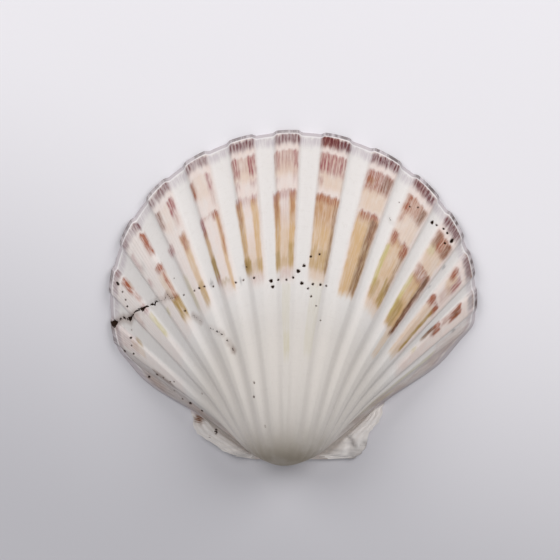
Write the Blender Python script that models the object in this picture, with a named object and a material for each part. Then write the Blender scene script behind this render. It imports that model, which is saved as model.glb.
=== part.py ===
"""One valve of a scallop, lying hollow side down as it would on a table.

The valve is built as it grows. Its edge is a flat curve, and every younger stage of the shell is a smaller
copy of that edge, turned up about the hinge line: a logarithmic spiral. Broad flat-topped ribs fan out from
the beak. The hollow is a second spiral of the same kind, so the wall is thin at the edge and thick at the
hinge. Two ears run along the hinge line, both chipped. +Y runs from the hinge to the far edge, +Z is up.
"""

import math

import bmesh
import bpy
from mathutils import Vector

MM = 0.001

# Outline of the disc, seen from above with the hinge's middle at the origin: an ellipse and two flanks.
DISC_HALF_WIDTH = 60.2 * MM
DISC_HALF_LENGTH = 55.6 * MM
DISC_CENTRE_X = 3.1 * MM
DISC_CENTRE_Y = 50.4 * MM
FLANK_DISTANCE = {-1: 5.6 * MM, 1: 8.2 * MM}
FLANK_SLANT = {-1: math.radians(53.4), 1: math.radians(50.2)}
CORNER_SHARPNESS = 20.0

# Each flank bulges outwards by this much. In degrees from +Y, the bulge rises over the first pair of angles,
# and all but a share of it is gone again at the end of the second.
FLANK_BULGE = {-1: 2.3 * MM, 1: 1.85 * MM}
BULGE_RISE = {-1: (57.4, 62.6), 1: (56.0, 60.2)}
BULGE_FALL = {-1: (62.9, 65.0), 1: (60.2, 62.2)}
BULGE_KEPT = {-1: 0.3, 1: 0.0}

# The spiral: the edge shrinks by a factor e for each 1 / TURN_RATE radians that it turns up, to a limit.
# The young shell was more domed, so it turns up by EARLY_BEND more, over the ages given.
TURN_RATE = 1.6
EARLY_BEND = math.radians(23)
EARLY_AGES = (0.75, 1.85)
OUTER_TURN_LIMIT = math.radians(130)
INNER_TURN_LIMIT = math.radians(88)
BEAK_SCALE = 0.03

# The wall. Its edge is a lip that falls away steeply from the ridge where the spiral ends.
EDGE_LIFT = 2.2 * MM
HINGE_LIFT = 1.4 * MM
LIP_WIDTH = 1.4 * MM
FLANK_LIP_WIDTH = 0.7 * MM
LIP_THICKNESS = 0.9 * MM
WORN_FLAT = 0.6 * MM
INNER_HINGE_Y = 2.4 * MM
FLANK_WALL = 2.7 * MM
HINGE_LEDGE_Y = -1.7 * MM
HINGE_LEDGE_HEIGHT = 0.9 * MM

# Ribs: (middle, half width) in degrees from +Y about the hinge's middle, from the left flank to the right.
# A rib's sides slope over YOUNG_SIDE degrees each way up to the first of SIDE_STAGES, and less after that.
RIBS = [
    (-54.2, 2.3),
    (-44.6, 2.4),
    (-35.2, 2.6),
    (-25.6, 2.6),
    (-16.6, 2.4),
    (-7.7, 2.4),
    (0.7, 2.3),
    (9.6, 2.6),
    (19.2, 2.9),
    (28.2, 3.0),
    (36.9, 2.8),
    (44.4, 2.4),
    (51.0, 2.0),
]
RIB_SIDE = 0.5
YOUNG_SIDE = 1.25
SIDE_STAGES = (0.45, 0.95)
RIB_HEIGHT = 1.6 * MM
FLANK_RIB_HEIGHT = 0.9 * MM
RIB_CROWN = 0.12
WORN_BEAK_STAGE = (0.07, 0.30)
INSIDE_RIBS_FROM = 0.62
INSIDE_RIB_SHARE = 0.85

# Chipped outer edge of each ear, from the flank round to the hinge line.
EARS = {
    -1: [(30.6, 14.6), (30.0, 8.9), (27.6, 5.9), (23.3, 3.6), (21.3, 1.8), (18.4, 0.3), (15.4, -0.9)],
    1: [(33.2, 17.2), (32.7, 13.0), (30.4, 9.2), (28.1, 7.0), (27.9, 4.0), (26.2, 0.4), (23.4, -1.5)],
}
EAR_START = {-1: 64.5, 1: 62.9}
EAR_EDGE_THICKNESS = 1.4 * MM

# How finely the surface is divided.
OUTER_STAGES = 20
INNER_STAGES = 15
FLANK_COLUMNS = 9
MERGE_DISTANCE = 0.001 * MM
SMOOTH_ANGLE = math.radians(40)
SHELL_COLOUR = (0.80, 0.74, 0.68, 1.0)


def blend_in(value, start, end):
    """0 below start, 1 above end, and a smooth step between."""
    t = min(max((value - start) / (end - start), 0.0), 1.0)
    return t * t * (3.0 - 2.0 * t)


def side_of(angle):
    return -1 if angle < 0.0 else 1


def edge_point(angle, inset, flank_inset):
    """Where the ray at angle, in degrees from +Y, meets the disc's outline, or one drawn inside it."""
    side = side_of(angle)
    turn = math.radians(angle)
    wide, long = DISC_HALF_WIDTH - inset, DISC_HALF_LENGTH - inset
    across, ahead = math.sin(turn) / wide, math.cos(turn) / long
    steepness = across**2 + ahead**2
    lean = across * DISC_CENTRE_X / wide + ahead * DISC_CENTRE_Y / long
    depth = (DISC_CENTRE_X / wide) ** 2 + (DISC_CENTRE_Y / long) ** 2 - 1.0
    to_ellipse = (lean + math.sqrt(lean**2 - steepness * depth)) / steepness
    reach = to_ellipse
    past_flank = math.sin(abs(turn) - FLANK_SLANT[side])
    if past_flank > 0.0:
        fall = (1.0 - BULGE_KEPT[side]) * blend_in(abs(angle), *BULGE_FALL[side])
        bulge = FLANK_BULGE[side] * blend_in(abs(angle), *BULGE_RISE[side]) * (1.0 - fall)
        to_flank = (FLANK_DISTANCE[side] + bulge - flank_inset) / past_flank
        power = -CORNER_SHARPNESS
        reach = (to_ellipse**power + to_flank**power) ** (1.0 / power)
    return Vector((reach * math.sin(turn), reach * math.cos(turn), 0.0))


def turned_up(grown, stage, limit):
    """Where a point of the grown edge was at an earlier stage: 1 is the grown edge and 0 the beak."""
    age = -math.log(stage)
    free = age / TURN_RATE + EARLY_BEND * blend_in(age, *EARLY_AGES)
    lifted = free / (1.0 + (free / limit) ** 8) ** 0.125
    ahead = stage * grown.y
    return Vector((stage * grown.x, ahead * math.cos(lifted), ahead * math.sin(lifted)))


def outer_base(angle, stage):
    """The outside without its ribs, which is the floor of its grooves."""
    lift = HINGE_LIFT + (EDGE_LIFT - HINGE_LIFT) * stage * lip_share(angle)
    grown = edge_point(angle, LIP_WIDTH, FLANK_LIP_WIDTH)
    return turned_up(grown, stage, OUTER_TURN_LIMIT) + Vector((0.0, 0.0, lift))


def inner_base(angle, stage):
    """The hollow without its ribs: the same spiral about a line further in."""
    grown = edge_point(angle, WORN_FLAT, FLANK_WALL)
    grown.y -= INNER_HINGE_Y * (1.0 - math.exp(-grown.y / INNER_HINGE_Y))
    return turned_up(grown, stage, INNER_TURN_LIMIT) + Vector((0.0, INNER_HINGE_Y, 0.0))


def lip_share(angle):
    """1 along the free edge, 0 along the ears, where the outside runs into them without a lip."""
    return 1.0 - blend_in(abs(angle), EAR_START[side_of(angle)] - 6.0, EAR_START[side_of(angle)])


def normal_of(surface, angle, stage):
    """Outward normal of a surface given as a function of angle and stage."""
    small_angle, small_stage = 0.05, 0.001
    low, high = max(angle - small_angle, -89.9), min(angle + small_angle, 89.9)
    across = surface(high, stage) - surface(low, stage)
    outward = surface(angle, min(stage + small_stage, 1.0)) - surface(angle, stage - small_stage)
    return across.cross(outward).normalized()


def rib_height(angle, stage):
    """Height of the rib pattern over the groove floor at a stage, before it is scaled down to that stage."""
    side = YOUNG_SIDE + (RIB_SIDE - YOUNG_SIDE) * blend_in(stage, *SIDE_STAGES)
    height = 0.0
    for middle, half_width in RIBS:
        off = abs(angle - middle)
        rise = 1.0 - blend_in(off, half_width - side, half_width + side)
        crown = 1.0 - RIB_CROWN * (off / half_width) ** 2
        full = RIB_HEIGHT + (FLANK_RIB_HEIGHT - RIB_HEIGHT) * blend_in(abs(middle), 38.0, 56.0)
        height += full * rise * max(crown, 0.0)
    return height


def outer_point(angle, stage):
    if abs(angle) >= 89.0:
        return outer_base(angle, stage)
    height = rib_height(angle, stage) * stage * blend_in(stage, *WORN_BEAK_STAGE)
    return outer_base(angle, stage) + normal_of(outer_base, angle, stage) * height


def inner_point(angle, stage):
    if abs(angle) >= 89.0:
        return inner_base(angle, stage)
    share = INSIDE_RIB_SHARE * blend_in(stage, INSIDE_RIBS_FROM, 1.0)
    point = inner_base(angle, stage) + normal_of(inner_base, angle, stage) * rib_height(angle, 1.0) * share
    point.z = max(point.z, 0.0)
    return point


def along_ear(side, share):
    """Place on an ear's chipped edge, from 0 at the flank to 1 at the hinge line."""
    corners = [Vector((side * x * MM, y * MM, 0.0)) for x, y in EARS[side]]
    corners.append(Vector((outer_base(side * 90.0, 1.0).x, HINGE_LEDGE_Y, 0.0)))
    place = share * (len(corners) - 1)
    before = min(int(place), len(corners) - 2)
    return corners[before].lerp(corners[before + 1], place - before)


def rim_points(angle):
    """The two points between the outer and the inner edge: of the lip, or of an ear's outer edge."""
    side = side_of(angle)
    if abs(angle) < EAR_START[side]:
        foot = edge_point(angle, 0.0, 0.0) + inner_point(angle, 1.0) - inner_base(angle, 1.0)
        return foot + Vector((0.0, 0.0, LIP_THICKNESS)), foot
    share = (abs(angle) - EAR_START[side]) / (90.0 - EAR_START[side])
    edge = along_ear(side, share)
    height = EAR_EDGE_THICKNESS + (HINGE_LEDGE_HEIGHT - EAR_EDGE_THICKNESS) * blend_in(share, 0.7, 1.0)
    return Vector((edge.x, edge.y, height)), edge


def column_angles():
    """Directions in which the surface is divided: at every rib's foot, edge and top, and down the flanks."""
    angles = set()
    for middle, half_width in RIBS:
        for off in (half_width + RIB_SIDE, half_width - RIB_SIDE, 0.0):
            angles.update((middle - off, middle + off))
    for (left, left_half), (right, right_half) in zip(RIBS, RIBS[1:]):
        angles.add((left + left_half + right - right_half) / 2.0)
    for side in (-1, 1):
        last = max(side * angle for angle in angles)
        for step in range(1, FLANK_COLUMNS):
            angles.add(side * (last + (EAR_START[side] - last) * step / FLANK_COLUMNS))
        corners = len(EARS[side])
        for step in range(corners + 1):
            angles.add(side * (EAR_START[side] + (90.0 - EAR_START[side]) * step / corners))
    return sorted(angles)


def growth_stages(count):
    """Stages from the beak to the edge, closer together where the shell is small."""
    return [BEAK_SCALE ** (1.0 - step / count) for step in range(count + 1)]


def section(angle):
    """One ray of the shell as a line: out along the outside, round the edge, and back along the hollow."""
    outside = [outer_point(angle, stage) for stage in growth_stages(OUTER_STAGES)]
    inside = [inner_point(angle, stage) for stage in reversed(growth_stages(INNER_STAGES))]
    outer_beak, inner_beak = Vector((0.0, 0.0, HINGE_LIFT)), Vector((0.0, INNER_HINGE_Y, 0.0))
    return [outer_beak] + outside + list(rim_points(angle)) + inside + [inner_beak]


def close_hinge(sheet, left, right):
    """Fills the strip between the first and last rays with three flat faces: back, ledge and foot."""
    lip = OUTER_STAGES + 2
    foot = lip + 1
    sheet.faces.new(left[lip::-1] + right[1 : lip + 1])
    sheet.faces.new([left[foot], left[lip], right[lip], right[foot]])
    sheet.faces.new(right[foot:] + left[-2 : foot - 1 : -1])


def build_valve(name, collection):
    """Warps a flat grid into the shell's skin, then closes it along the hinge and at the beak."""
    sections = [section(angle) for angle in column_angles()]
    columns, rows = len(sections), len(sections[0])
    sheet = bmesh.new()
    bmesh.ops.create_grid(sheet, x_segments=columns - 1, y_segments=rows - 1, size=0.5)
    sheet.verts.ensure_lookup_table()
    grid = [[None] * rows for _ in range(columns)]
    for vertex in sheet.verts:
        column = round((vertex.co.x + 0.5) * (columns - 1))
        row = round((vertex.co.y + 0.5) * (rows - 1))
        grid[column][row] = vertex
    for column, points in zip(grid, sections):
        for vertex, point in zip(column, points):
            vertex.co = point
    close_hinge(sheet, grid[0], grid[-1])
    bmesh.ops.remove_doubles(sheet, verts=sheet.verts, dist=MERGE_DISTANCE)
    bmesh.ops.recalc_face_normals(sheet, faces=sheet.faces)
    mesh = bpy.data.meshes.new(name)
    sheet.to_mesh(mesh)
    sheet.free()
    valve = bpy.data.objects.new(name, mesh)
    collection.objects.link(valve)
    return valve


def stand_on_middle(obj):
    """Puts the origin under the middle of the object, at the height of the surface that it lies on."""
    corners = [vertex.co for vertex in obj.data.vertices]
    low = Vector(min(corner[axis] for corner in corners) for axis in range(3))
    high = Vector(max(corner[axis] for corner in corners) for axis in range(3))
    obj.location = (-(low.x + high.x) / 2.0, -(low.y + high.y) / 2.0, -low.z)


def shell_material():
    material = bpy.data.materials.new("shell")
    material.use_nodes = True
    shader = material.node_tree.nodes["Principled BSDF"]
    shader.inputs["Base Color"].default_value = SHELL_COLOUR
    shader.inputs["Roughness"].default_value = 0.45
    shader.inputs["Metallic"].default_value = 0.0
    return material


def main():
    for obj in list(bpy.data.objects):
        bpy.data.objects.remove(obj)
    collection = bpy.data.collections.new("scallop_shell")
    bpy.context.scene.collection.children.link(collection)
    valve = build_valve("valve", collection)
    stand_on_middle(valve)
    valve.data.materials.append(shell_material())
    valve.data.shade_smooth()
    valve.data.set_sharp_from_angle(angle=SMOOTH_ANGLE)


main()
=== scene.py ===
"""Dresses one valve of a scallop, lying hollow side down: its relief, colours, damage and hollow."""

import logging
import math
from collections.abc import Callable
from dataclasses import dataclass, field
from enum import Enum
from typing import Any

import bmesh
import bpy
import numpy as np
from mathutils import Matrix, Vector


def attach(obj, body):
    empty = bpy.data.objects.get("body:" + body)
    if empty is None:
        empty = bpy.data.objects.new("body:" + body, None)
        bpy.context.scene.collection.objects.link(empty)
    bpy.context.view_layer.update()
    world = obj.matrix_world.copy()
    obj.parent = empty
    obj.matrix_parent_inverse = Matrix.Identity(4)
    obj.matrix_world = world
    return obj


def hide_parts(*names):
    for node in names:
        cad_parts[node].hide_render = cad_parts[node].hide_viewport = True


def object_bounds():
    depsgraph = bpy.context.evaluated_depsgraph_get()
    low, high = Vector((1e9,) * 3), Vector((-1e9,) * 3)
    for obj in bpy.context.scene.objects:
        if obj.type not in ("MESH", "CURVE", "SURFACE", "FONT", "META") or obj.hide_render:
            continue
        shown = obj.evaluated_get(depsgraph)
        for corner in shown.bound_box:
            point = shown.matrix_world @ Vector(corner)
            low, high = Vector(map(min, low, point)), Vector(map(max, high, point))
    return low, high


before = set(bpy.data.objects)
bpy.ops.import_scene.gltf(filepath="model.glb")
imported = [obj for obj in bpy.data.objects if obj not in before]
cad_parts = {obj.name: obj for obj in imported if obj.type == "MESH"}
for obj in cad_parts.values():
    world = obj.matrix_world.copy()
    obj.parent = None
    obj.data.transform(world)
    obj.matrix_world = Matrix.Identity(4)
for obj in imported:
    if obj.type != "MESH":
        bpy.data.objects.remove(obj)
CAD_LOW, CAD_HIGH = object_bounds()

log = logging.getLogger("scallop")
Array = np.ndarray
Socket = bpy.types.NodeSocket
Colour = tuple[float, float, float, float]
Value = Socket | Colour | float
Waves = tuple[tuple[float, float, float], ...]
MM = 0.001

# The middle of the hinge line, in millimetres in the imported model's frame. The shell's own sizes start there.
HINGE_PLACE = (-3.094, -51.936, 0.0)


def blend_in(value: Array, start: float, end: float) -> Array:
    """Smooth step.

    Args:
        value: Where to read it.
        start: It is 0 up to here.
        end: It is 1 from here on.

    Returns:
        3t^2 - 2t^3, where t runs from 0 to 1 between start and end.
    """
    t = np.clip((value - start) / (end - start), 0.0, 1.0)
    return t * t * (3.0 - 2.0 * t)


def plateau(value: Array, start: float, end: float, soft: float) -> Array:
    """Soft-edged box.

    Args:
        value: Where to read it.
        start: Middle of its rising edge.
        end: Middle of its falling edge.
        soft: Half the width of each edge.

    Returns:
        1 between start and end, 0 outside, and smooth steps between.
    """
    rise = blend_in(value, start - soft, start + soft)
    return rise * (1.0 - blend_in(value, end - soft, end + soft))


def side_values(angle: Array, pair: dict[int, float]) -> Array:
    """The left value of a pair where the angle is negative, and the right one elsewhere."""
    return np.where(angle < 0.0, pair[-1], pair[1])


def both_sides(left: Any, right: Any) -> Any:
    """A field with one value for the left side, -1, and one for the right side, 1."""
    return field(default_factory=lambda: {-1: left, 1: right})


def sines(value: Array, waves: Waves, shift: Array | float = 0.0) -> Array:
    """Sum of sines of a value, each given as its size, rate and start, all with the same shift."""
    return sum(size * np.sin(rate * value + start + shift) for size, rate, start in waves)


def stacked(x: Array, y: Array, z: Array) -> Array:
    """Points with these coordinates, one in a row."""
    return np.stack(np.broadcast_arrays(x, y, z), axis=-1)


class Zone(Enum):
    """The stretches of a line from the beak over the outside, round the edge and back through the hollow."""

    OUTSIDE = "outside"
    RIM_TOP = "rim top"
    RIM_EDGE = "rim edge"
    RIM_FOOT = "rim foot"
    HOLLOW = "hollow"


class Dye(Enum):
    """Colours laid down in the shell, as the name of the attribute that holds how strong each is."""

    TAN = "tan"
    OLIVE = "olive"
    ROSE = "rose"
    MAROON = "maroon"
    LILAC = "lilac"
    RUST = "rust"
    BROWN = "brown"
    LIME = "lime"
    GREY = "grey"


@dataclass(frozen=True)
class Outline:
    """The disc's outline from above, in millimetres about the hinge's middle: an ellipse and two flanks.

    A flank is a straight line at a distance from the middle and a slant from +Y in degrees. Its bulge in
    millimetres rises and falls between pairs of ray angles, and the kept share of it doesn't fall.
    """

    half_width: float = 60.2
    half_length: float = 55.6
    centre_x: float = 3.1
    centre_y: float = 50.4
    flank_distance: dict[int, float] = both_sides(5.6, 8.2)
    flank_slant: dict[int, float] = both_sides(53.4, 50.2)
    sharpness: float = 20.0
    bulge: dict[int, float] = both_sides(2.3, 1.85)
    bulge_rise: dict[int, tuple[float, float]] = both_sides((57.4, 62.6), (56.0, 60.2))
    bulge_fall: dict[int, tuple[float, float]] = both_sides((62.9, 65.0), (60.2, 62.2))
    bulge_kept: dict[int, float] = both_sides(0.3, 0.0)

    def point(self, angle: Array, inset: float, flank_inset: float) -> Array:
        """Where rays meet the outline, or one drawn inside it.

        The ray at an angle a from +Y meets the ellipse at r1, the flank at distance / sin(|a| - slant) = r2,
        and the outline at (r1^-n + r2^-n)^(-1/n), which rounds the corner between them. The distance of a
        flank grows by its bulge, which rises and falls as smooth steps of |a|.

        Args:
            angle: Ray in degrees from +Y, clockwise seen from above.
            inset: How far the ellipse is drawn in.
            flank_inset: How far the flanks are drawn in.

        Returns:
            Points at height 0.
        """
        turn = np.radians(angle)
        wide, long = self.half_width - inset, self.half_length - inset
        across, ahead = np.sin(turn) / wide, np.cos(turn) / long
        steepness = across**2 + ahead**2
        lean = across * self.centre_x / wide + ahead * self.centre_y / long
        depth = (self.centre_x / wide) ** 2 + (self.centre_y / long) ** 2 - 1.0
        reach = (lean + np.sqrt(lean**2 - steepness * depth)) / steepness
        past = np.sin(np.abs(turn) - np.radians(side_values(angle, self.flank_slant)))
        meets = past > 0.0
        bulge = np.zeros_like(turn)
        for side in (-1, 1):
            fall = (1.0 - self.bulge_kept[side]) * blend_in(side * angle, *self.bulge_fall[side])
            bulge += self.bulge[side] * blend_in(side * angle, *self.bulge_rise[side]) * (1.0 - fall)
        away = side_values(angle, self.flank_distance) + bulge - flank_inset
        to_flank = away / np.where(meets, past, 1.0)
        power = -self.sharpness
        rounded = (reach**power + to_flank**power) ** (1.0 / power)
        reach = np.where(meets, rounded, reach)
        return stacked(reach * np.sin(turn), reach * np.cos(turn), 0.0)


@dataclass(frozen=True)
class Spiral:
    """Growth: a younger stage is a smaller copy of the edge, turned up about the hinge line."""

    turn_rate: float = 1.6
    early_bend: float = 23.0
    early_ages: tuple[float, float] = (0.75, 1.85)

    def turned_up(self, grown: Array, stage: Array, limit: float) -> Array:
        """Where points of the grown edge were at a younger stage.

        With the age a = -ln(stage), the turn is a / rate plus the early bend, eased so that it stays under
        the limit, and the point is (s x, s y cos turn, s y sin turn).

        Args:
            grown: Points of the edge.
            stage: Size of the shell then, as a share of the grown one.
            limit: Largest turn, in degrees.

        Returns:
            The younger points.
        """
        age = -np.log(stage)
        free = age / self.turn_rate + math.radians(self.early_bend) * blend_in(age, *self.early_ages)
        turn = free / (1.0 + (free / math.radians(limit)) ** 8) ** 0.125
        ahead = stage * grown[..., 1]
        return stacked(stage * grown[..., 0], ahead * np.cos(turn), ahead * np.sin(turn))


@dataclass(frozen=True)
class RibFan:
    """The fan of flat-topped ribs: (middle, half width) in degrees, from the left flank to the right."""

    ribs: tuple[tuple[float, float], ...] = (
        (-54.2, 2.3), (-44.6, 2.4), (-35.2, 2.6), (-25.6, 2.6), (-16.6, 2.4), (-7.7, 2.4), (0.7, 2.3),
        (9.6, 2.6), (19.2, 2.9), (28.2, 3.0), (36.9, 2.8), (44.4, 2.4), (51.0, 2.0),
    )
    grown_side: float = 0.5
    young_side: float = 1.9
    side_stages: tuple[float, float] = (0.35, 0.85)
    height: float = 1.6
    flank_height: float = 0.9
    low_from: tuple[float, float] = (38.0, 56.0)
    crown: float = 0.12
    flank_place: float = 9.2

    def height_at(self, angle: Array, stage: Array) -> tuple[Array, Array]:
        """Height of the ribs over the floor of the grooves.

        A rib is a plateau with sides that slope more gently on the young shell, times a crown that falls by
        a share of the square of the way out from its middle.

        Args:
            angle: Degrees from +Y.
            stage: Stage whose sides it has.

        Returns:
            The height at full size in millimetres, and the plateau itself, from 0 in a groove to 1 on a rib.
        """
        grown = blend_in(stage, *self.side_stages)
        side = self.young_side + (self.grown_side - self.young_side) * grown
        height = np.zeros(np.broadcast(angle, stage).shape)
        share = np.zeros_like(height)
        for middle, half_width in self.ribs:
            off = np.abs(angle - middle)
            rise = 1.0 - blend_in(off, half_width - side, half_width + side)
            full = self.height + (self.flank_height - self.height) * blend_in(abs(middle), *self.low_from)
            height += full * rise * np.maximum(1.0 - self.crown * (off / half_width) ** 2, 0.0)
            share += rise
        return height, share

    def place_of(self, angle: Array) -> Array:
        """Place across the fan: rib number n lies between n - 0.25 and n + 0.25, and its grooves between."""
        edges, places = self.edges()
        place = np.interp(angle, edges, places)
        place = np.where(angle < edges[0], places[0] + (angle - edges[0]) / self.flank_place, place)
        return np.where(angle > edges[-1], places[-1] + (angle - edges[-1]) / self.flank_place, place)

    def angle_of(self, place: Array) -> Array:
        """The other way round: the angle in degrees at a place across the fan."""
        edges, places = self.edges()
        angle = np.interp(place, places, edges)
        angle = np.where(place < places[0], edges[0] + (place - places[0]) * self.flank_place, angle)
        return np.where(place > places[-1], edges[-1] + (place - places[-1]) * self.flank_place, angle)

    def edges(self) -> tuple[Array, Array]:
        """Angles of the ribs' edges in order, and their places."""
        middles = np.array([middle for middle, _ in self.ribs])
        halves = np.array([half for _, half in self.ribs])
        numbers = np.arange(len(self.ribs))
        angles = np.stack([middles - halves, middles + halves], axis=1).ravel()
        places = np.stack([numbers - 0.25, numbers + 0.25], axis=1).ravel()
        return angles, places


@dataclass(frozen=True)
class FineRelief:
    """What is too fine for the solid: riblets, growth rings and slow unevenness, cut into the plain surface.

    A ring is its stage, its drop in millimetres and the share of growth over which the drop fades.
    """

    riblets_on_rib: float = 16.0
    riblets_in_groove: float = 10.0
    riblet_depth: float = 0.11
    groove_riblet_depth: float = 0.05
    flank_riblets: float = 8.0
    flank_riblet_depth: float = 0.20
    rings: tuple[tuple[float, float, float], ...] = (
        (0.972, 0.10, 0.006), (0.945, 0.16, 0.016), (0.888, 0.05, 0.010), (0.862, 0.05, 0.010),
        (0.815, 0.17, 0.022), (0.742, 0.04, 0.012), (0.690, 0.05, 0.015), (0.583, 0.20, 0.030),
        (0.455, 0.06, 0.020), (0.340, 0.06, 0.020), (0.250, 0.05, 0.015), (0.180, 0.05, 0.012),
    )
    young_groove: float = 0.95
    uneven: float = 0.07
    uneven_waves: int = 9
    seed: int = 11

    def depth(self, place: Array, stage: Array, on_rib: Array) -> Array:
        """How far the surface lies below the plain one.

        Riblets are cosines across the fan that wear off towards the beak. A ring drops where growth went on
        after a halt, and the drop fades out exponentially. The unevenness is a sum of slow sines.

        Args:
            place: Place across the fan.
            stage: Growth stage.
            on_rib: 1 on a rib and 0 in a groove.

        Returns:
            Depth in millimetres, at least 0.
        """
        def furrows(count: float, at: Array) -> Array:
            """1 between riblets and 0 on their tops, with so many riblets to a rib and its groove."""
            return 0.5 + 0.5 * np.cos(2.0 * np.pi * count * at)

        first, last, middle = -0.25, 12.25, 6.0
        flank = blend_in(np.maximum(first - place, place - last), 0.05, 0.15)
        groove = (1.0 - on_rib) * (1.0 - flank)
        from_rib = place - np.round(place)
        kept = blend_in(stage, 0.35, 0.90)
        depth = self.riblet_depth * kept * on_rib * furrows(self.riblets_on_rib, from_rib - first)
        depth += self.groove_riblet_depth * kept * groove * furrows(self.riblets_in_groove, from_rib + first)
        sideways = 0.25 + 0.75 * blend_in(np.abs(place - middle), 0.8, 3.5)
        depth += self.young_groove * sideways * groove * (1.0 - blend_in(stage, 0.45, 0.85))
        on_flank = flank * blend_in(stage, 0.10, 0.55)
        depth += self.flank_riblet_depth * on_flank * furrows(self.flank_riblets, place)
        for ring, drop, fade in self.rings:
            wander = ring + sines(place, ((0.0022, 2.1, 40.0 * ring), (0.0014, 5.3, 9.0 * ring)))
            after = np.clip(stage - wander, 0.0, None)
            step = blend_in(stage - wander, -0.0015, 0.0015)
            depth += drop * step * np.exp(-after / fade)
        rng = np.random.default_rng(self.seed)
        waves = np.zeros_like(depth)
        turn = 6.28
        for _ in range(self.uneven_waves):
            turns_across, turns_along = rng.uniform(0.15, 1.6), rng.uniform(2.0, 30.0)
            phase, tilt = rng.uniform(0.0, turn, 2)
            bend = phase + np.sin(place + tilt)
            waves += np.sin(turns_across * place * turn + turns_along * stage + bend)
        return depth + self.uneven * stage * (1.0 + waves / self.uneven_waves)


@dataclass(frozen=True)
class Ears:
    """The two chipped ears along the hinge line, as their outer edges from the flank round to the hinge.

    A pit is its place and two half lengths, and the stain its place and radius, all in millimetres.
    """

    corners: dict[int, tuple[tuple[float, float], ...]] = both_sides(
        ((30.6, 14.6), (30.0, 8.9), (27.6, 5.9), (23.3, 3.6), (21.3, 1.8), (18.4, 0.3), (15.4, -0.9)),
        ((33.2, 17.2), (32.7, 13.0), (30.4, 9.2), (28.1, 7.0), (27.9, 4.0), (26.2, 0.4), (23.4, -1.5)),
    )
    start: dict[int, float] = both_sides(64.5, 62.9)
    ragged_waves: Waves = ((0.5, 61.0, 0.0), (0.35, 113.0, 1.0), (0.5, 29.0, 2.0))
    ragged_by: float = 0.28
    edge_thickness: float = 1.4
    ledge_y: float = -1.7
    ledge_height: float = 0.9
    step_line: tuple[tuple[float, float], ...] = (
        (20.5, 6.6), (22.6, 5.0), (23.4, 3.1), (24.5, 2.5), (25.5, 3.7), (27.6, 4.9), (29.0, 5.4),
    )
    pits: tuple[tuple[float, float, float, float], ...] = (
        (-22.2, 7.5, 0.50, 1.10), (-24.3, 5.9, 0.35, 0.40), (-17.9, 6.2, 0.30, 0.30),
        (-26.9, 10.3, 0.30, 0.45), (-28.9, 13.2, 0.30, 0.30), (-27.2, 9.4, 0.28, 0.28),
    )
    stain: tuple[float, float, float] = (-27.9, 11.6, 2.3)
    step_depth: float = 0.75
    pit_depth: float = 0.35
    lift: float = 1.6

    def share_of(self, angle: Array) -> Array:
        """How far round an ear's edge a ray is: 0 at the flank or before it, and 1 at the hinge line."""
        start = side_values(angle, self.start)
        return np.clip((np.abs(angle) - start) / (90.0 - start), 0.0, 1.0)

    def broken(self, points: Array) -> Array:
        """1 on the part of the right ear where a layer has broken away, and 0 elsewhere."""
        line_x, line_y = np.array(self.step_line).T
        below = blend_in(np.interp(points[..., 0], line_x, line_y) - points[..., 1], -0.12, 0.12)
        return below * blend_in(points[..., 0], 19.5, 22.0)

    def to_pit(self, points: Array) -> Array:
        """Distance from above to the nearest pit's rim in millimetres, negative inside."""
        farthest = 3.0
        near = np.full(points.shape[:-1], farthest)
        for x, y, half_width, half_length in self.pits:
            off = np.hypot((points[..., 0] - x) / half_width, (points[..., 1] - y) / half_length)
            near = np.minimum(near, (off - 1.0) * half_width)
        return near

    def edge(self, angle: Array, hinge_x: dict[int, float]) -> Array:
        """Points of the foot of the chipped edges.

        Args:
            angle: Ray in degrees; its share of the ear is its share of the corners.
            hinge_x: Half length of the hinge line on each side.

        Returns:
            Points on the straight lines between corners, with a small ragged wave, lifted off the table.
        """
        share = self.share_of(angle)
        x, y = np.zeros_like(share), np.zeros_like(share)
        for side in (-1, 1):
            line = [*self.corners[side], (hinge_x[side], self.ledge_y)]
            knots = np.linspace(0.0, 1.0, len(line))
            here = np.sign(angle) == side
            x = np.where(here, side * np.interp(share, knots, [corner[0] for corner in line]), x)
            y = np.where(here, np.interp(share, knots, [corner[1] for corner in line]), y)
        lowest = sum(size for size, _, _ in self.ragged_waves)
        inward = self.ragged_by * (sines(share, self.ragged_waves) - lowest)
        inward = inward * blend_in(share, 0.01, 0.08) * (1.0 - blend_in(share, 0.86, 0.97))
        lift = self.lift * blend_in(share, 0.04, 0.16) * (1.0 - blend_in(share, 0.70, 0.94))
        return stacked(x + np.sign(angle) * inward, y - 0.35 * inward, lift)

    def relief(self, points: Array, along: Array, angle: Array) -> Array:
        """How far the upper face of an ear rises over the plain one.

        A dip lies along the disc, faint folds run out from the hinge and follow the edge, pits are sunk in,
        and on the right ear the part by the hinge lies a step lower, where a layer has broken away.

        Args:
            points: Places on the plain face.
            along: 0 at the disc and 1 at the ear's edge.
            angle: Ray in degrees.

        Returns:
            Rise in millimetres; negative where the face lies lower.
        """
        share = self.share_of(angle)
        inside = blend_in(share, 0.0, 0.06) * (1.0 - blend_in(share, 0.93, 1.0))
        inner = blend_in(along, 0.0, 0.08) * (1.0 - blend_in(along, 0.90, 1.0))
        dip = -0.40 * np.exp(-(((along - 0.12) / 0.10) ** 2))
        folds = 0.12 * np.sin(38.0 * share + 2.0 * along) + 0.10 * np.sin(26.0 * along + 3.0 * share)
        pitted = self.pit_depth * blend_in(-self.to_pit(points), -0.05, 0.25)
        rise = inside * inner * (dip + folds - pitted)
        return rise - self.step_depth * self.broken(points) * (1.0 - blend_in(share, 0.93, 1.0))


@dataclass(frozen=True)
class Hole:
    """A small bored hole: its place across, stage, radius in millimetres, and how much longer it is along."""

    place: float
    stage: float
    radius: float
    long: float = 1.0


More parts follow.
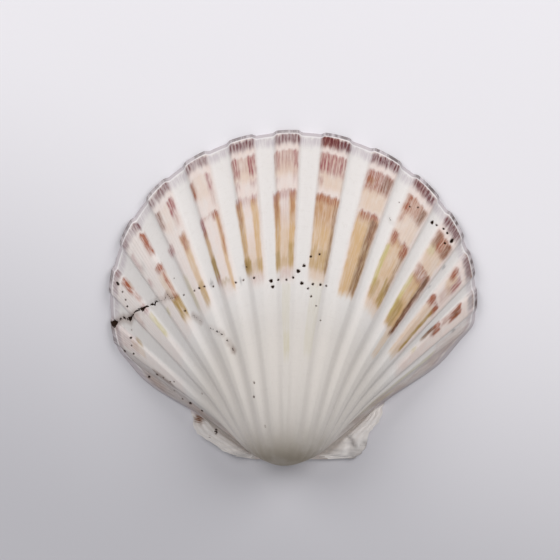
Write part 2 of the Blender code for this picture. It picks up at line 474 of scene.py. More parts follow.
def hole_list() -> tuple[Hole, ...]:
    """The holes of the disc, group by group."""
    left = (
        (1.085, .974, .42, 2.2), (1.04, .941, .30), (.954, .920, .34), (.86, .908, .36), (-.154, .906, .36),
        (.037, .906, .30), (.22, .902, .36), (.40, .896, .34), (2.43, .750, .26), (2.46, .686, .34),
        (2.25, .648, .32), (.52, .478, .30), (-.30, .985, .45), (-.435, .990, .38), (-.646, .980, .48),
        (-.313, .780, .52), (-.198, .726, .32), (-.513, .752, .38), (-.695, .742, .34), (-.614, .668, .58),
        (-.582, .579, .48), (-.206, .325, .28), (-.186, .250, .28), (-.127, .678, .26), (.002, .649, .24),
    )
    ring = (
        (2.885, .660, .34), (3.04, .654, .40), (3.19, .647, .36), (3.45, .633, .36), (4.24, .606, .32),
        (4.51, .605, .36), (4.90, .599, .36), (5.445, .583, .62), (5.50, .567, .55), (5.74, .583, .36),
        (6.01, .581, .38), (6.22, .587, .38), (6.39, .606, .68), (6.58, .622, .58), (6.55, .575, .60),
        (6.77, .647, .40), (6.98, .656, .40), (6.79, .562, .36), (6.91, .575, .42), (7.13, .578, .42),
        (7.33, .581, .36), (6.90, .543, .34), (7.10, .521, .32), (7.37, .490, .30),
    )
    right = (
        (8.62, .905, .24), (9.00, .928, .34), (8.87, .911, .34), (9.47, .941, .50, 1.7), (9.66, .949, .42),
        (9.83, .955, .42), (9.93, .958, .40), (10.085, .960, .55, 2.1), (10.00, .930, .40),
    )
    young = ((4.14, .349, .32), (3.98, .320, .30), (4.375, .253, .26))
    opened = 0.90
    rows = left + ring + right + young
    return tuple(Hole(place, stage, opened * radius, *long) for place, stage, radius, *long in rows)


@dataclass(frozen=True)
class Damage:
    """Bored holes, the crack across the left ribs, and scratches.

    The crack is a line of places, stages and half widths. A scratch runs from a place and stage to another.
    """

    holes: tuple[Hole, ...] = field(default_factory=hole_list)
    crack: tuple[tuple[float, float, float], ...] = (
        (.20, 1.005, .62), (.25, .998, .62), (.30, .988, .26), (.35, .978, .10), (.42, .966, .22),
        (.47, .950, .12), (.515, .941, .24), (.56, .916, .22), (.60, .906, .56), (.65, .897, .40),
        (.72, .888, .12), (.80, .874, .24), (.90, .866, .14), (1.01, .847, .26), (1.10, .836, .28),
        (1.17, .820, .50), (1.25, .813, .22), (1.33, .802, .10), (1.43, .793, .18), (1.52, .778, .42),
        (1.60, .778, .30), (1.70, .765, .06), (1.91, .734, .05), (2.06, .738, .05), (2.08, .718, .07),
        (2.22, .702, .04),
    )
    scratches: tuple[tuple[float, float, float, float], ...] = (
        (2.41, .618, 2.52, .595), (2.55, .588, 2.60, .579), (2.86, .541, 3.04, .519),
        (3.02, .524, 3.21, .497), (3.27, .478, 3.30, .470), (3.40, .451, 3.44, .441),
        (4.66, .640, 4.72, .632), (8.50, .845, 8.62, .838),
    )
    scratch_width: tuple[float, float] = (0.06, 0.08)
    hole_depth: float = 0.55
    crack_depth: float = 0.50
    climb: float = 1.18
    far: float = 3.0

    def distances(self, angle: Array, stage: Array, reach_of: Callable[[Array], Array],
                  fan: RibFan) -> tuple[Array, Array]:
        """Distance over the surface to the nearest hole's rim and to the crack's side, negative inside.

        On the surface a step of one degree is stage * reach * pi / 180 long, and a step of stage is reach
        times the climb, because the spiral climbs.

        Args:
            angle: Ray in degrees.
            stage: Growth stage.
            reach_of: Gives the length of the ray at an angle to the grown edge, in millimetres.
            fan: The ribs, for turning places into angles.

        Returns:
            Two distances in millimetres, at most the value of far.
        """
        reach = reach_of(angle)
        hole = np.full(angle.shape, self.far)
        for spot in self.holes:
            spot_angle = fan.angle_of(np.array(spot.place))
            x = np.radians(angle - spot_angle) * reach * stage
            y = self.climb * (stage * reach - spot.stage * reach_of(spot_angle))
            ragged = 0.10 * np.sin(3.0 * np.arctan2(y, x) + 9.0 * spot.place)
            hole = np.minimum(hole, np.hypot(x, y / spot.long) - spot.radius * (1.0 + ragged))
        thin, thick = self.scratch_width
        stretches = list(zip(self.crack, self.crack[1:]))
        stretches += [((p0, s0, thin), (p1, s1, thick)) for p0, s0, p1, s1 in self.scratches]
        crack = np.full(angle.shape, self.far)
        for start, end in stretches:
            crack = np.minimum(crack, self.to_stretch(angle, stage, reach, fan, start, end))
        return hole, crack

    def to_stretch(self, angle: Array, stage: Array, reach: Array, fan: RibFan,
                   start: tuple[float, float, float], end: tuple[float, float, float]) -> Array:
        """Distance to one straight stretch of the crack, less half its width there.

        Args:
            angle: Degrees of the points.
            stage: Their growth stage.
            reach: Their rays' lengths.
            fan: The ribs.
            start: Place, stage and half width in millimetres where the stretch starts.
            end: The same where it ends.

        Returns:
            Distances in millimetres, negative inside.
        """
        def flat(place: float, at: float) -> tuple[Array, Array]:
            """Offset of a place on the surface from the points, in millimetres."""
            x = np.radians(fan.angle_of(np.array(place)) - angle) * reach * stage
            return x, self.climb * (at - stage) * reach

        (x0, y0), (x1, y1) = flat(*start[:2]), flat(*end[:2])
        run_x, run_y = x1 - x0, y1 - y0
        t = np.clip(-(x0 * run_x + y0 * run_y) / (run_x**2 + run_y**2), 0.0, 1.0)
        return np.hypot(x0 + t * run_x, y0 + t * run_y) - (start[2] + (end[2] - start[2]) * t)


@dataclass(frozen=True)
class Stroke:
    """One coloured mark: a dye between two places on a rib and between two stages, with its strength.

    The last three numbers are half the widths of its edges: at the sides, and at the younger and older end.
    """

    dye: Dye
    rib: int
    left: float
    right: float
    young: float
    grown: float
    strength: float
    soft: float = 0.028
    fade_young: float = 0.013
    fade_grown: float = 0.005

    def mask(self, place: Array, stage: Array) -> Array:
        """Strength at each point: a soft box across, softer for rust and brown, times soft steps along.

        Args:
            place: Place across the fan.
            stage: Growth stage.

        Returns:
            Values from 0 to the stroke's strength.
        """
        softer = 1.7 if self.dye in (Dye.RUST, Dye.BROWN) else 1.0
        across = plateau(place - self.rib, self.left, self.right, self.soft * softer)
        rise = blend_in(stage, self.young - self.fade_young, self.young + self.fade_young)
        fall = 1.0 - blend_in(stage, self.grown - self.fade_grown, self.grown + self.fade_grown)
        return self.strength * across * rise * fall


@dataclass(frozen=True)
class Colouring:
    """Works out how strong each dye is at each point of the outside."""

    warp_along: Waves = ((0.0024, 46.0, 3.0), (0.0012, 83.0, 1.0), (0.0007, 181.0, 2.0), (0.0030, 9.0, 0.5))
    warp_across: Waves = ((0.006, 41.0, 0.7), (0.004, 143.0, 2.1), (0.003, 307.0, 4.0))

    def strokes(self) -> list[Stroke]:
        """Every mark: the lilac margin, then rib by rib from the left."""
        made = [Stroke(Dye.LILAC, rib, -0.5, 0.5, 0.972, 0.999, 0.60, 0.01) for rib in range(-1, 14)]
        for rib, rows in self.marks().items():
            made += [Stroke(row[0], rib, *row[1:]) for row in rows]
        return made

    @staticmethod
    def marks() -> dict[int, tuple[tuple, ...]]:
        """Marks of each rib, as read off a shell of this kind.

        Returns:
            For each rib number, rows of dye, left, right, younger end, older end and strength, and in some
            rows the softness of the edges.
        """
        tan, olive, rose, maroon = Dye.TAN, Dye.OLIVE, Dye.ROSE, Dye.MAROON
        rust, brown, lime, grey = Dye.RUST, Dye.BROWN, Dye.LIME, Dye.GREY
        return {
            -1: ((brown, .65, .87, .66, .79, .35), (rust, .10, .75, .60, .99, .12),
                 (grey, .05, .90, .30, 1.01, .20, .10, .10, .01)),
            0: ((rose, -.10, .30, .86, .97, .25), (olive, .23, .33, .835, .87, .75),
                (tan, 0.0, .20, .82, .90, .25), (maroon, -.30, .20, .972, .998, .30)),
            1: ((rust, .17, .30, .885, .955, .85), (rust, .20, .30, .84, .885, .40),
                (olive, .25, .32, .90, .93, .45), (lime, .16, .27, .68, .78, .60),
                (rose, .12, .26, .79, .83, .45), (maroon, -.12, .16, .971, .998, .35),
                (maroon, .15, .29, .970, .999, .70), (rust, -.3, -.1, .80, .86, .22)),
            2: ((rust, .19, .31, .870, .955, .85), (rose, -.22, -.12, .87, .94, .40),
                (rust, .12, .31, .80, .830, .80), (rust, .19, .28, .70, .80, .65),
                (olive, .08, .31, .635, .708, .85), (tan, .08, .30, .62, .80, .35),
                (rose, -.22, -.12, .80, .83, .40), (lime, -.27, -.14, .69, .712, .55),
                (maroon, -.20, .30, .971, .998, .30), (maroon, -.22, -.08, .970, .999, .60),
                (maroon, .15, .31, .968, 1.000, .75), (grey, -.18, -.02, .855, .885, .16)),
            3: ((brown, -.21, -.13, .885, .945, .55), (rose, -.24, -.12, .885, .945, .45),
                (rose, .08, .22, .89, .945, .85), (rust, .12, .20, .90, .94, .50),
                (rust, .10, .20, .85, .89, .35), (rose, -.36, -.16, .80, .83, .75),
                (rust, .06, .20, .770, .826, .60), (tan, .05, .20, .60, .82, .65),
                (olive, .04, .20, .59, .665, .45), (lime, -.30, -.15, .61, .72, .35),
                (tan, -.18, .12, .86, .94, .12), (maroon, -.26, -.11, .971, .998, .62),
                (maroon, -.08, .25, .970, 1.000, .80), (grey, .33, .50, .64, .65, .70),
                (grey, .40, .46, .436, .450, .50)),
            4: ((rust, -.27, -.17, .885, .942, .75), (olive, -.26, -.18, .90, .93, .35),
                (rose, .10, .20, .885, .942, .75), (rust, .13, .20, .84, .885, .35),
                (rose, -.31, -.19, .765, .826, .80), (rust, -.31, .20, .810, .817, .45),
                (rust, .04, .20, .80, .822, .80), (tan, -.32, -.19, .66, .79, .75),
                (olive, -.34, -.17, .640, .705, .90), (rust, -.33, -.18, .622, .648, .50),
                (rust, .13, .20, .69, .81, .50), (tan, .10, .20, .595, .81, .75),
                (olive, -.20, .09, .614, .625, .60), (tan, -.20, .12, .87, .945, .16),
                (maroon, -.23, .22, .971, .998, .50), (maroon, -.24, -.08, .970, .998, .75),
                (maroon, .05, .22, .970, .998, .72), (grey, .37, .43, .603, .613, .80)),
            5: ((rose, -.26, -.11, .885, .947, .85), (rose, .07, .23, .885, .947, .90),
                (rose, -.12, .08, .90, .946, .30), (tan, -.26, .22, .87, .945, .25),
                (rose, -.26, -.14, .852, .868, .50), (rose, .08, .21, .852, .870, .50),
                (rose, -.31, .20, .803, .826, .35), (rose, -.31, -.15, .80, .827, .60),
                (rose, .08, .20, .80, .827, .60), (rust, -.31, -.18, .74, .81, .35),
                (tan, -.32, -.15, .612, .815, .85), (tan, .05, .20, .612, .815, .80),
                (tan, -.15, .05, .612, .70, .30, .03, .004, .04), (olive, -.34, -.12, .612, .652, .90),
                (olive, 0.00, .20, .612, .650, .45), (olive, -.12, 0.00, .612, .640, .25),
                (rust, -.20, .20, .585, .609, .16), (maroon, -.25, .24, .969, .998, .78)),
            6: ((rose, -.28, -.14, .89, .948, .65), (rose, .10, .23, .89, .948, .75),
                (rose, -.14, .10, .89, .947, .45, .02, .03, .003), (tan, -.28, .22, .87, .945, .28),
                (rose, -.27, -.17, .852, .866, .25), (rose, .12, .22, .85, .89, .30),
                (rose, -.35, .22, .800, .827, .50), (rust, -.33, -.17, .74, .825, .48, .03, .04),
                (rust, .08, .21, .74, .825, .45, .03, .04), (tan, -.32, -.16, .612, .82, .95),
                (tan, .06, .21, .612, .82, .95), (rose, -.16, .06, .73, .80, .14),
                (tan, -.17, .07, .612, .74, .55, .03, .004, .05), (olive, -.33, -.17, .612, .660, .70),
                (olive, .05, .21, .612, .680, .55), (olive, -.17, .05, .612, .640, .30),
                (rust, -.20, .20, .582, .609, .22), (lime, -.10, .16, .390, .450, .30),
                (lime, -.14, .14, .450, .570, .16), (maroon, -.25, .25, .969, .998, .72),
                (maroon, .08, .25, .969, .998, .90)),
            7: ((rose, -.25, .24, .886, .948, .80), (rose, -.25, -.16, .848, .874, .50),
                (tan, -.25, .24, .84, .945, .30), (rust, -.25, .23, .795, .823, .65),
                (rust, -.25, .23, .74, .80, .28, .02, .03, .004), (tan, -.25, .23, .612, .818, .78),
                (olive, -.25, .23, .612, .672, .40), (brown, .16, .22, .612, .80, .55),
                (tan, -.24, .22, .584, .612, .35), (lime, -.15, .20, .40, .585, .14),
                (maroon, -.26, .26, .968, .999, 1.00), (rust, -.26, .05, .968, .999, .90)),
            8: ((rust, -.24, .21, .884, .946, .68), (brown, .05, .21, .890, .940, .55),
                (olive, -.20, -.08, .902, .922, .80), (rose, -.24, .21, .93, .948, .25),
                (tan, -.24, .21, .82, .89, .38), (rust, -.21, .19, .793, .818, .75),
                (tan, -.23, .20, .576, .81, .85), (brown, .04, .20, .580, .80, .60),
                (olive, .04, .20, .600, .74, .45), (rust, .08, .20, .73, .80, .50),
                (tan, -.22, -.10, .573, .60, .70), (maroon, -.24, .23, .969, .998, .90)),
            9: ((rust, -.23, .18, .884, .943, .50), (tan, -.23, .18, .80, .94, .30),
                (rust, -.23, -.12, .884, .943, .80), (brown, .08, .18, .890, .940, .60),
                (rust, -.22, -.15, .85, .885, .60), (rust, -.23, -.11, .778, .818, .85),
                (rust, .04, .18, .765, .812, .85), (rust, -.11, .04, .785, .805, .35),
                (tan, -.23, .18, .60, .80, .68), (lime, -.25, -.17, .64, .77, .75),
                (olive, -.23, -.08, .612, .662, .55), (olive, .02, .18, .610, .685, .80),
                (brown, .12, .18, .65, .78, .50), (tan, -.20, .17, .575, .61, .35),
                (maroon, -.23, .20, .969, .999, .92), (rust, -.20, 0.00, .969, .999, .50)),
            10: ((rust, -.23, .17, .888, .945, .65), (brown, -.22, -.12, .89, .94, .55),
                 (brown, .05, .17, .89, .94, .55), (lime, -.22, -.08, .860, .900, .50),
                 (tan, -.22, .16, .80, .94, .42), (rust, -.23, .17, .765, .815, .62),
                 (brown, .06, .17, .77, .81, .50), (tan, -.23, .14, .60, .78, .85),
                 (lime, -.25, -.17, .62, .77, .75), (olive, -.23, -.02, .600, .685, .70),
                 (brown, .07, .17, .585, .80, .95), (rust, .12, .18, .64, .78, .55),
                 (tan, -.05, .15, .50, .60, .45), (maroon, -.23, .18, .968, 1.001, .80),
                 (grey, -.20, .30, .985, 1.012, .50), (grey, .30, .42, .886, .900, .80),
                 (grey, .34, .44, .807, .813, .80)),
            11: ((rust, -.22, -.08, .895, .942, .80), (rose, -.02, .14, .880, .942, .75),
                 (tan, -.20, .10, .865, .925, .45), (rust, -.10, .12, .82, .88, .22),
                 (rust, -.25, -.10, .776, .813, .95), (rust, 0.00, .13, .778, .812, .95),
                 (rust, -.10, 0.00, .785, .805, .50), (olive, 0.00, .09, .600, .790, .90),
                 (tan, -.24, .06, .560, .78, .45), (maroon, -.20, .16, .970, .999, .60),
                 (brown, -.25, .25, .996, 1.013, .75), (grey, -.2, .2, .968, 1.0, .35)),
            12: ((rust, -.25, -.01, .868, .932, .90), (brown, -.20, -.05, .885, .92, .55),
                 (rust, -.26, -.10, .825, .87, .40), (rust, -.34, -.06, .775, .816, .85),
                 (brown, -.34, -.14, .765, .79, .60), (brown, -.39, -.23, .720, .780, .75),
                 (olive, -.37, -.25, .720, .770, .60), (lime, -.28, -.15, .665, .685, .45),
                 (grey, -.25, .10, .970, 1.0, .40), (lime, .45, .60, .30, .80, .30),
                 (lime, .80, .90, .25, .70, .35), (rust, .30, .95, .80, .99, .15),
                 (brown, -.3, .1, .997, 1.013, .55), (grey, .26, .34, .888, .902, .80)),
        }

    def strengths(self, place: Array, stage: Array) -> dict[Dye, Array]:
        """Strength of each dye: the strongest of its strokes at each point, with edges wavered by sines.

        Args:
            place: Place across the fan.
            stage: Growth stage.

        Returns:
            One array for each dye.
        """
        made = {dye: np.zeros(place.shape) for dye in Dye}
        warped_stage = stage + sines(place, self.warp_along)
        warped_place = place + sines(stage, self.warp_across, place)
        for stroke in self.strokes():
            made[stroke.dye] = np.maximum(made[stroke.dye], stroke.mask(warped_place, warped_stage))
        return made


@dataclass
class Valve:
    """The shell: one closed skin, worked out from the ray's angle and the way along its section.

    Lengths are in millimetres and angles in degrees. Depths are how far a mark is cut in.
    """

    outline: Outline = field(default_factory=Outline)
    spiral: Spiral = field(default_factory=Spiral)
    fan: RibFan = field(default_factory=RibFan)
    fine: FineRelief = field(default_factory=FineRelief)
    ears: Ears = field(default_factory=Ears)
    damage: Damage = field(default_factory=Damage)
    colouring: Colouring = field(default_factory=Colouring)
    outer_turn_limit: float = 130.0
    inner_turn_limit: float = 88.0
    beak_scale: float = 0.03
    edge_lift: float = 2.2
    hinge_lift: float = 1.4
    lip_width: float = 1.4
    flank_lip_width: float = 0.7
    lip_thickness: float = 0.9
    worn_flat: float = 0.6
    inner_hinge_y: float = 2.4
    flank_wall: float = 2.7
    pit_height: float = 0.9
    ridge_height: float = 0.12
    worn_beak: tuple[float, float] = (0.07, 0.30)
    hinge_ray: float = 89.0
    inside_ribs_from: float = 0.62
    inside_rib_share: float = 0.85
    scar_place: tuple[float, float] = (9.0, 44.0)
    scar_depths: tuple[float, float] = (0.26, 0.10)
    mantle_depth: float = 0.16
    growth_line_depth: float = 0.03
    lip_bulge: float = 0.16
    lip_growth: tuple[float, float] = (1.014, 1.02)
    refine_within: float = 0.40
    weld: float = 0.0008
    sharp_from: float = 62.0
    outside_rows: int = 96
    rim_top_rows: int = 8
    rim_edge_rows: int = 3
    rim_foot_rows: int = 6
    hollow_rows: int = 24
    rib_columns: int = 32
    groove_columns: int = 9
    flank_columns: int = 28
    ear_columns: int = 26
    hinge_x: dict[int, float] = field(default_factory=dict)

    def __post_init__(self) -> None:
        """Finds the ends of the hinge line, where the rays along it meet the flanks."""
        for side in (-1, 1):
            end = self.outline.point(np.array([90.0 * side]), self.lip_width, self.flank_lip_width)
            self.hinge_x[side] = abs(float(end[0, 0]))

    def lip_share(self, angle: Array) -> Array:
        """1 along the free edge and 0 along the ears, where the outside runs into them without a lip."""
        start = side_values(angle, self.ears.start)
        return 1.0 - blend_in(np.abs(angle), start - 6.0, start)

    def reach(self, angle: Array) -> Array:
        """Lengths of the rays to the edge where the grown outside ends, in millimetres."""
        return np.linalg.norm(self.outline.point(angle, self.lip_width, self.flank_lip_width), axis=-1)

    def outer_base(self, angle: Array, stage: Array) -> Array:
        """The outside without its ribs: the outline drawn in by the lip, turned up, and lifted."""
        lift = self.hinge_lift + (self.edge_lift - self.hinge_lift) * stage * self.lip_share(angle)
        grown = self.outline.point(angle, self.lip_width, self.flank_lip_width)
        return self.spiral.turned_up(grown, stage, self.outer_turn_limit) + stacked(0.0, 0.0, lift)

    def inner_base(self, angle: Array, stage: Array) -> Array:
        """The hollow without its ribs: the spiral about a line at h further in, y less h(1 - exp(-y / h))."""
        grown = self.outline.point(angle, self.worn_flat, self.flank_wall)
        ahead, shift = grown[..., 1], self.inner_hinge_y
        grown = stacked(grown[..., 0], ahead - shift * (1.0 - np.exp(-ahead / shift)), 0.0)
        return self.spiral.turned_up(grown, stage, self.inner_turn_limit) + np.array((0.0, shift, 0.0))

    @staticmethod
    def normal_of(surface: Callable[[Array, Array], Array], angle: Array, stage: Array) -> Array:
        """Outward unit normals of a surface, from its slopes across and along.

        Args:
            surface: Function of angle and stage that gives points.
            angle: Degrees.
            stage: Growth stage.

        Returns:
            Cross products of the two slopes, at length 1.
        """
        small_angle, small_stage = 0.05, 0.001
        low, high = np.maximum(angle - small_angle, -89.9), np.minimum(angle + small_angle, 89.9)
        across = surface(high, stage) - surface(low, stage)
        along = surface(angle, np.minimum(stage + small_stage, 1.0)) - surface(angle, stage - small_stage)
        normal = np.cross(across, along)
        return normal / np.linalg.norm(normal, axis=-1, keepdims=True)

    def outer_point(self, angle: Array, stage: Array) -> Array:
        """The outside: its base, plus ribs along the normal, less the fine relief and the damage.

        Args:
            angle: Degrees.
            stage: Growth stage.

        Returns:
            Points in millimetres about the hinge's middle.
        """
        height, on_rib = self.fan.height_at(angle, stage)
        place = self.fan.place_of(angle)
        worn = stage * blend_in(stage, *self.worn_beak)
        near_ear = 1.0 - blend_in(self.ears.share_of(angle), 0.0, 0.05)
        hole, crack = self.damage.distances(angle, stage, self.reach, self.fan)
        bored = self.damage.hole_depth * blend_in(-hole, -0.05, 0.35)
        split = self.damage.crack_depth * blend_in(-crack, -0.05, 0.30)
        cut = self.fine.depth(place, stage, on_rib) * worn + np.maximum(bored, split)
        rise = np.where(np.abs(angle) >= self.hinge_ray, 0.0, height * worn - near_ear * cut)
        return self.outer_base(angle, stage) + self.normal_of(self.outer_base, angle, stage) * rise[..., None]

    def inner_point(self, angle: Array, stage: Array) -> Array:
        """The hollow: its base, plus the ribs that show through near the edge, kept above the table.

        Args:
            angle: Degrees.
            stage: Growth stage.

        Returns:
            Points in millimetres about the hinge's middle.
        """
        share = self.inside_rib_share * blend_in(stage, self.inside_ribs_from, 1.0)
        height, _ = self.fan.height_at(angle, np.ones_like(angle))
        off_hinge = np.abs(angle) < self.hinge_ray
        rise = np.where(off_hinge, height * share, 0.0)
        points = self.inner_base(angle, stage)
        points = points + self.normal_of(self.inner_base, angle, stage) * rise[..., None]
        points = points + stacked(0.0, 0.0, self.hollow_relief(points, stage) * off_hinge)
        points[..., 2] = np.maximum(points[..., 2], 0.0)
        return points

    def hollow_relief(self, points: Array, stage: Array) -> Array:
        """Rise of the hollow's face at the muscle scar and at the line that the mantle leaves.

        The scar is a disc with a ring in it, and the mantle's line is a smooth step at one stage. Fine growth
        lines lie outside it. All only cut into the wall.

        Args:
            points: Places on the plain face.
            stage: Growth stage.

        Returns:
            Rise in millimetres.
        """
        scar_x, scar_y = self.scar_place
        disc, ring = self.scar_depths
        away = np.hypot(points[..., 0] - scar_x, (points[..., 1] - scar_y) / 1.12)
        scar = disc * (1.0 - blend_in(away, 13.4, 14.4)) + ring * np.exp(-(((away - 9.0) / 2.2) ** 2))
        mantle = self.mantle_depth * blend_in(stage, 0.745, 0.765) * (1.0 - blend_in(stage, 0.82, 0.98))
        lines = self.growth_line_depth * (1.0 + np.sin(stage * 260.0))
        lines = lines * blend_in(stage, 0.55, 0.75) * (1.0 - blend_in(stage, 0.9, 1.0))
        return scar * blend_in(points[..., 2], 1.0, 4.0) + mantle + lines

    def rim_points(self, angle: Array) -> tuple[Array, Array]:
        """The CAD rim with the ears' finer edges.

        Args:
            angle: Degrees.

        Returns:
            Points of the upper edge of the lip or an ear, and of its foot.
        """
        one = np.ones_like(angle)
        shift = self.inner_point(angle, one) - self.inner_base(angle, one)
        free_foot = self.outline.point(angle, 0.0, 0.0) + shift
        share = self.ears.share_of(angle)
        ear_foot = self.ears.edge(angle, self.hinge_x)
        on_ear = (np.abs(angle) >= side_values(angle, self.ears.start))[..., None]
        foot = np.where(on_ear, ear_foot, free_foot)
        thinner = self.ears.ledge_height - self.ears.edge_thickness
        thin = self.ears.edge_thickness + thinner * blend_in(share, 0.7, 1.0)
        height = np.where(on_ear[..., 0], thin, self.lip_thickness)
        return foot + stacked(0.0, 0.0, height), foot

    def rim_top(self, angle: Array, along: Array) -> Array:
        """The face from the outside's edge down to the lip, or out over an ear.

        It is the straight line between the two, plus a parabola's bulge on the free edge, or an ear's relief.

        Args:
            angle: Degrees.
            along: 0 at the outside's edge and 1 at the lip.

        Returns:
            Points in millimetres.
        """
        ridge = self.outer_point(angle, np.ones_like(angle))
        lip, _ = self.rim_points(angle)
        points = ridge + (lip - ridge) * along[..., None]
        ear = self.ears.share_of(angle) > 0.0
        bulge = np.where(ear, 0.0, self.lip_bulge * 4.0 * along * (1.0 - along))
        turn = np.radians(angle)
        outward = stacked(np.sin(turn), np.cos(turn), 1.0) / math.sqrt(2.0)
        rise = np.where(ear, self.ears.relief(points, along, angle), 0.0)
        return points + outward * bulge[..., None] + stacked(0.0, 0.0, rise)

    def rim_edge(self, angle: Array, along: Array) -> Array:
        """The small upright face from the lip down to its foot.

        Args:
            angle: Degrees.
            along: 0 at the lip and 1 at its foot.

        Returns:
            Points on the straight line between the two, worn in by a sine of the way down.
        """
        lip, foot = self.rim_points(angle)
        points = lip + (foot - lip) * along[..., None]
        worn = 0.12 * np.sin(np.pi * along) * (1.0 - blend_in(self.ears.share_of(angle), 0.9, 1.0))
        turn = np.radians(angle)
        return points - stacked(np.sin(turn), np.cos(turn), 0.0) * worn[..., None]

    def rim_foot(self, angle: Array, along: Array) -> Array:
        """The face that rests on the table, from the foot in to the hollow's edge: a straight line."""
        _, foot = self.rim_points(angle)
        edge = self.inner_point(angle, np.ones_like(angle))
        return foot + (edge - foot) * along[..., None]

    def rows(self) -> list[tuple[Zone, float]]:
        """The section's rows in order, closer where the rings are.

        Returns:
            For each row its zone, and how far along it the row is, or its growth stage in the two spirals.
        """
        spacing = (
            (0.03, .004), (0.1, .010), (0.3, .014), (0.53, .014), (0.56, .0065), (0.64, .0065), (0.67, .010),
            (0.79, .010), (0.80, .005), (0.83, .005), (0.85, .008), (0.92, .008), (0.94, .0045), (1.0, .0042),
        )
        fine = np.linspace(self.beak_scale, 1.0, 4000)
        close = 1.0 / np.interp(fine, *np.array(spacing).T)
        count = np.concatenate([[0.0], np.cumsum((close[1:] + close[:-1]) / 2.0)])
        stages = np.interp(np.linspace(0.0, count[-1], self.outside_rows), count, fine)
        back = self.beak_scale ** (np.linspace(0.0, 1.0, self.hollow_rows) ** 1.25)
        made = [(Zone.OUTSIDE, float(stage)) for stage in stages]
        for zone, steps in ((Zone.RIM_TOP, self.rim_top_rows), (Zone.RIM_EDGE, self.rim_edge_rows)):
            made += [(zone, step / steps) for step in range(1, steps + 1)]
        made += [(Zone.RIM_FOOT, step / self.rim_foot_rows) for step in range(1, self.rim_foot_rows)]
        made += [(Zone.HOLLOW, float(stage)) for stage in back]
        return made

    def columns(self) -> Array:
        """The columns, closest on the ribs.

        Returns:
            Their angles in degrees, from the left to the right.
        """
        side = self.fan.grown_side + 0.05
        spans = [(middle - half - side, middle + half + side) for middle, half in self.fan.ribs]
        pieces = [np.linspace(low, high, self.rib_columns + 1) for low, high in spans]
        for (_, low), (high, _) in zip(spans, spans[1:]):
            pieces.append(np.linspace(low, high, self.groove_columns + 1)[1:-1])
        first, last = spans[0][0], spans[-1][1]
        for edge, side_sign in ((first, -1), (last, 1)):
            start = side_sign * self.ears.start[side_sign]
            pieces.append(np.linspace(edge, start, self.flank_columns + 1)[1:])
            pieces.append(np.linspace(start, side_sign * 90.0, self.ear_columns + 1)[1:])
        return np.sort(np.concatenate(pieces))

    def points_at(self, angle: Array, row: Array,
                  rows: list[tuple[Zone, float]]) -> tuple[Array, Array, Array]:
        """Points of the skin at any place between its rows.

        Args:
            angle: Degrees.
            row: Row number, which may fall between two rows of one zone.
            rows: The rows.

        Returns:
            The points, the growth stage (a little over 1 on the rim), and 1 in the hollow or 0 outside it.
        """
        ends = {zone: number for number, (zone, _) in enumerate(rows)}
        steps = np.array([value for _, value in rows])
        close = 1e-6
        top_growth, edge_growth = self.lip_growth
        points = np.zeros(angle.shape + (3,))
        growth = np.ones(angle.shape)
        hollow = np.zeros(angle.shape)
        start = -1
        shapes = {
            Zone.OUTSIDE: self.outer_point, Zone.RIM_TOP: self.rim_top, Zone.RIM_EDGE: self.rim_edge,
            Zone.RIM_FOOT: self.rim_foot, Zone.HOLLOW: self.inner_point,
        }
        for zone in Zone:
            here = (row > start + close) & (row <= ends[zone] + close)
            numbers = np.arange(start, ends[zone] + 1)
            first = 1.0 if zone is Zone.HOLLOW else 0.0
            values = np.concatenate([[first], steps[start + 1 : ends[zone] + 1]])
            if zone is Zone.OUTSIDE:
                numbers, values = numbers[1:], values[1:]
            value = np.interp(row[here], numbers, values)
            points[here] = shapes[zone](angle[here], value)
            if zone in (Zone.OUTSIDE, Zone.HOLLOW):
                growth[here] = value
            elif zone is Zone.RIM_TOP:
                growth[here] = 1.0 + (top_growth - 1.0) * value
            else:
                growth[here] = edge_growth
            hollow[here] = 1.0 if zone in (Zone.HOLLOW, Zone.RIM_FOOT) else 0.0
            start = ends[zone]
        return points, growth, hollow

    def refined_grid(self, angles: Array,
                     rows: list[tuple[Zone, float]]) -> tuple[Array, Array, list[list[int]]]:
        """A flat grid of angle and row, with more rows where holes, the crack and the ears need them.

        Args:
            angles: The columns.
            rows: The rows.

        Returns:
            Angle and row of each corner, and each face's corners.
        """
        count = len(rows)
        column, row = np.meshgrid(np.arange(len(angles)), np.arange(count), indexing="ij")
        flat = stacked(column.ravel(), row.ravel(), 0.0)
        sheet = bpy.data.meshes.new("flat_sheet")
        sheet.from_pydata(flat.tolist(), [], grid_faces(len(angles), count, 0))
        net = bmesh.new()
        net.from_mesh(sheet)
        bpy.data.meshes.remove(sheet)
        net.faces.ensure_lookup_table()
        along = set()
        for number in np.flatnonzero(self.faces_to_refine(angles, rows)):
            for edge in net.faces[int(number)].edges:
                if abs(edge.verts[0].co.y - edge.verts[1].co.y) > 0.5:
                    along.add(edge)
        bmesh.ops.subdivide_edges(net, edges=list(along), cuts=2, use_grid_fill=True)
        places = np.array([vertex.co[:2] for vertex in net.verts])
        net.verts.index_update()
        corners = [[vertex.index for vertex in face.verts] for face in net.faces]
        net.free()
        return np.interp(places[:, 0], np.arange(len(angles)), angles), places[:, 1], corners

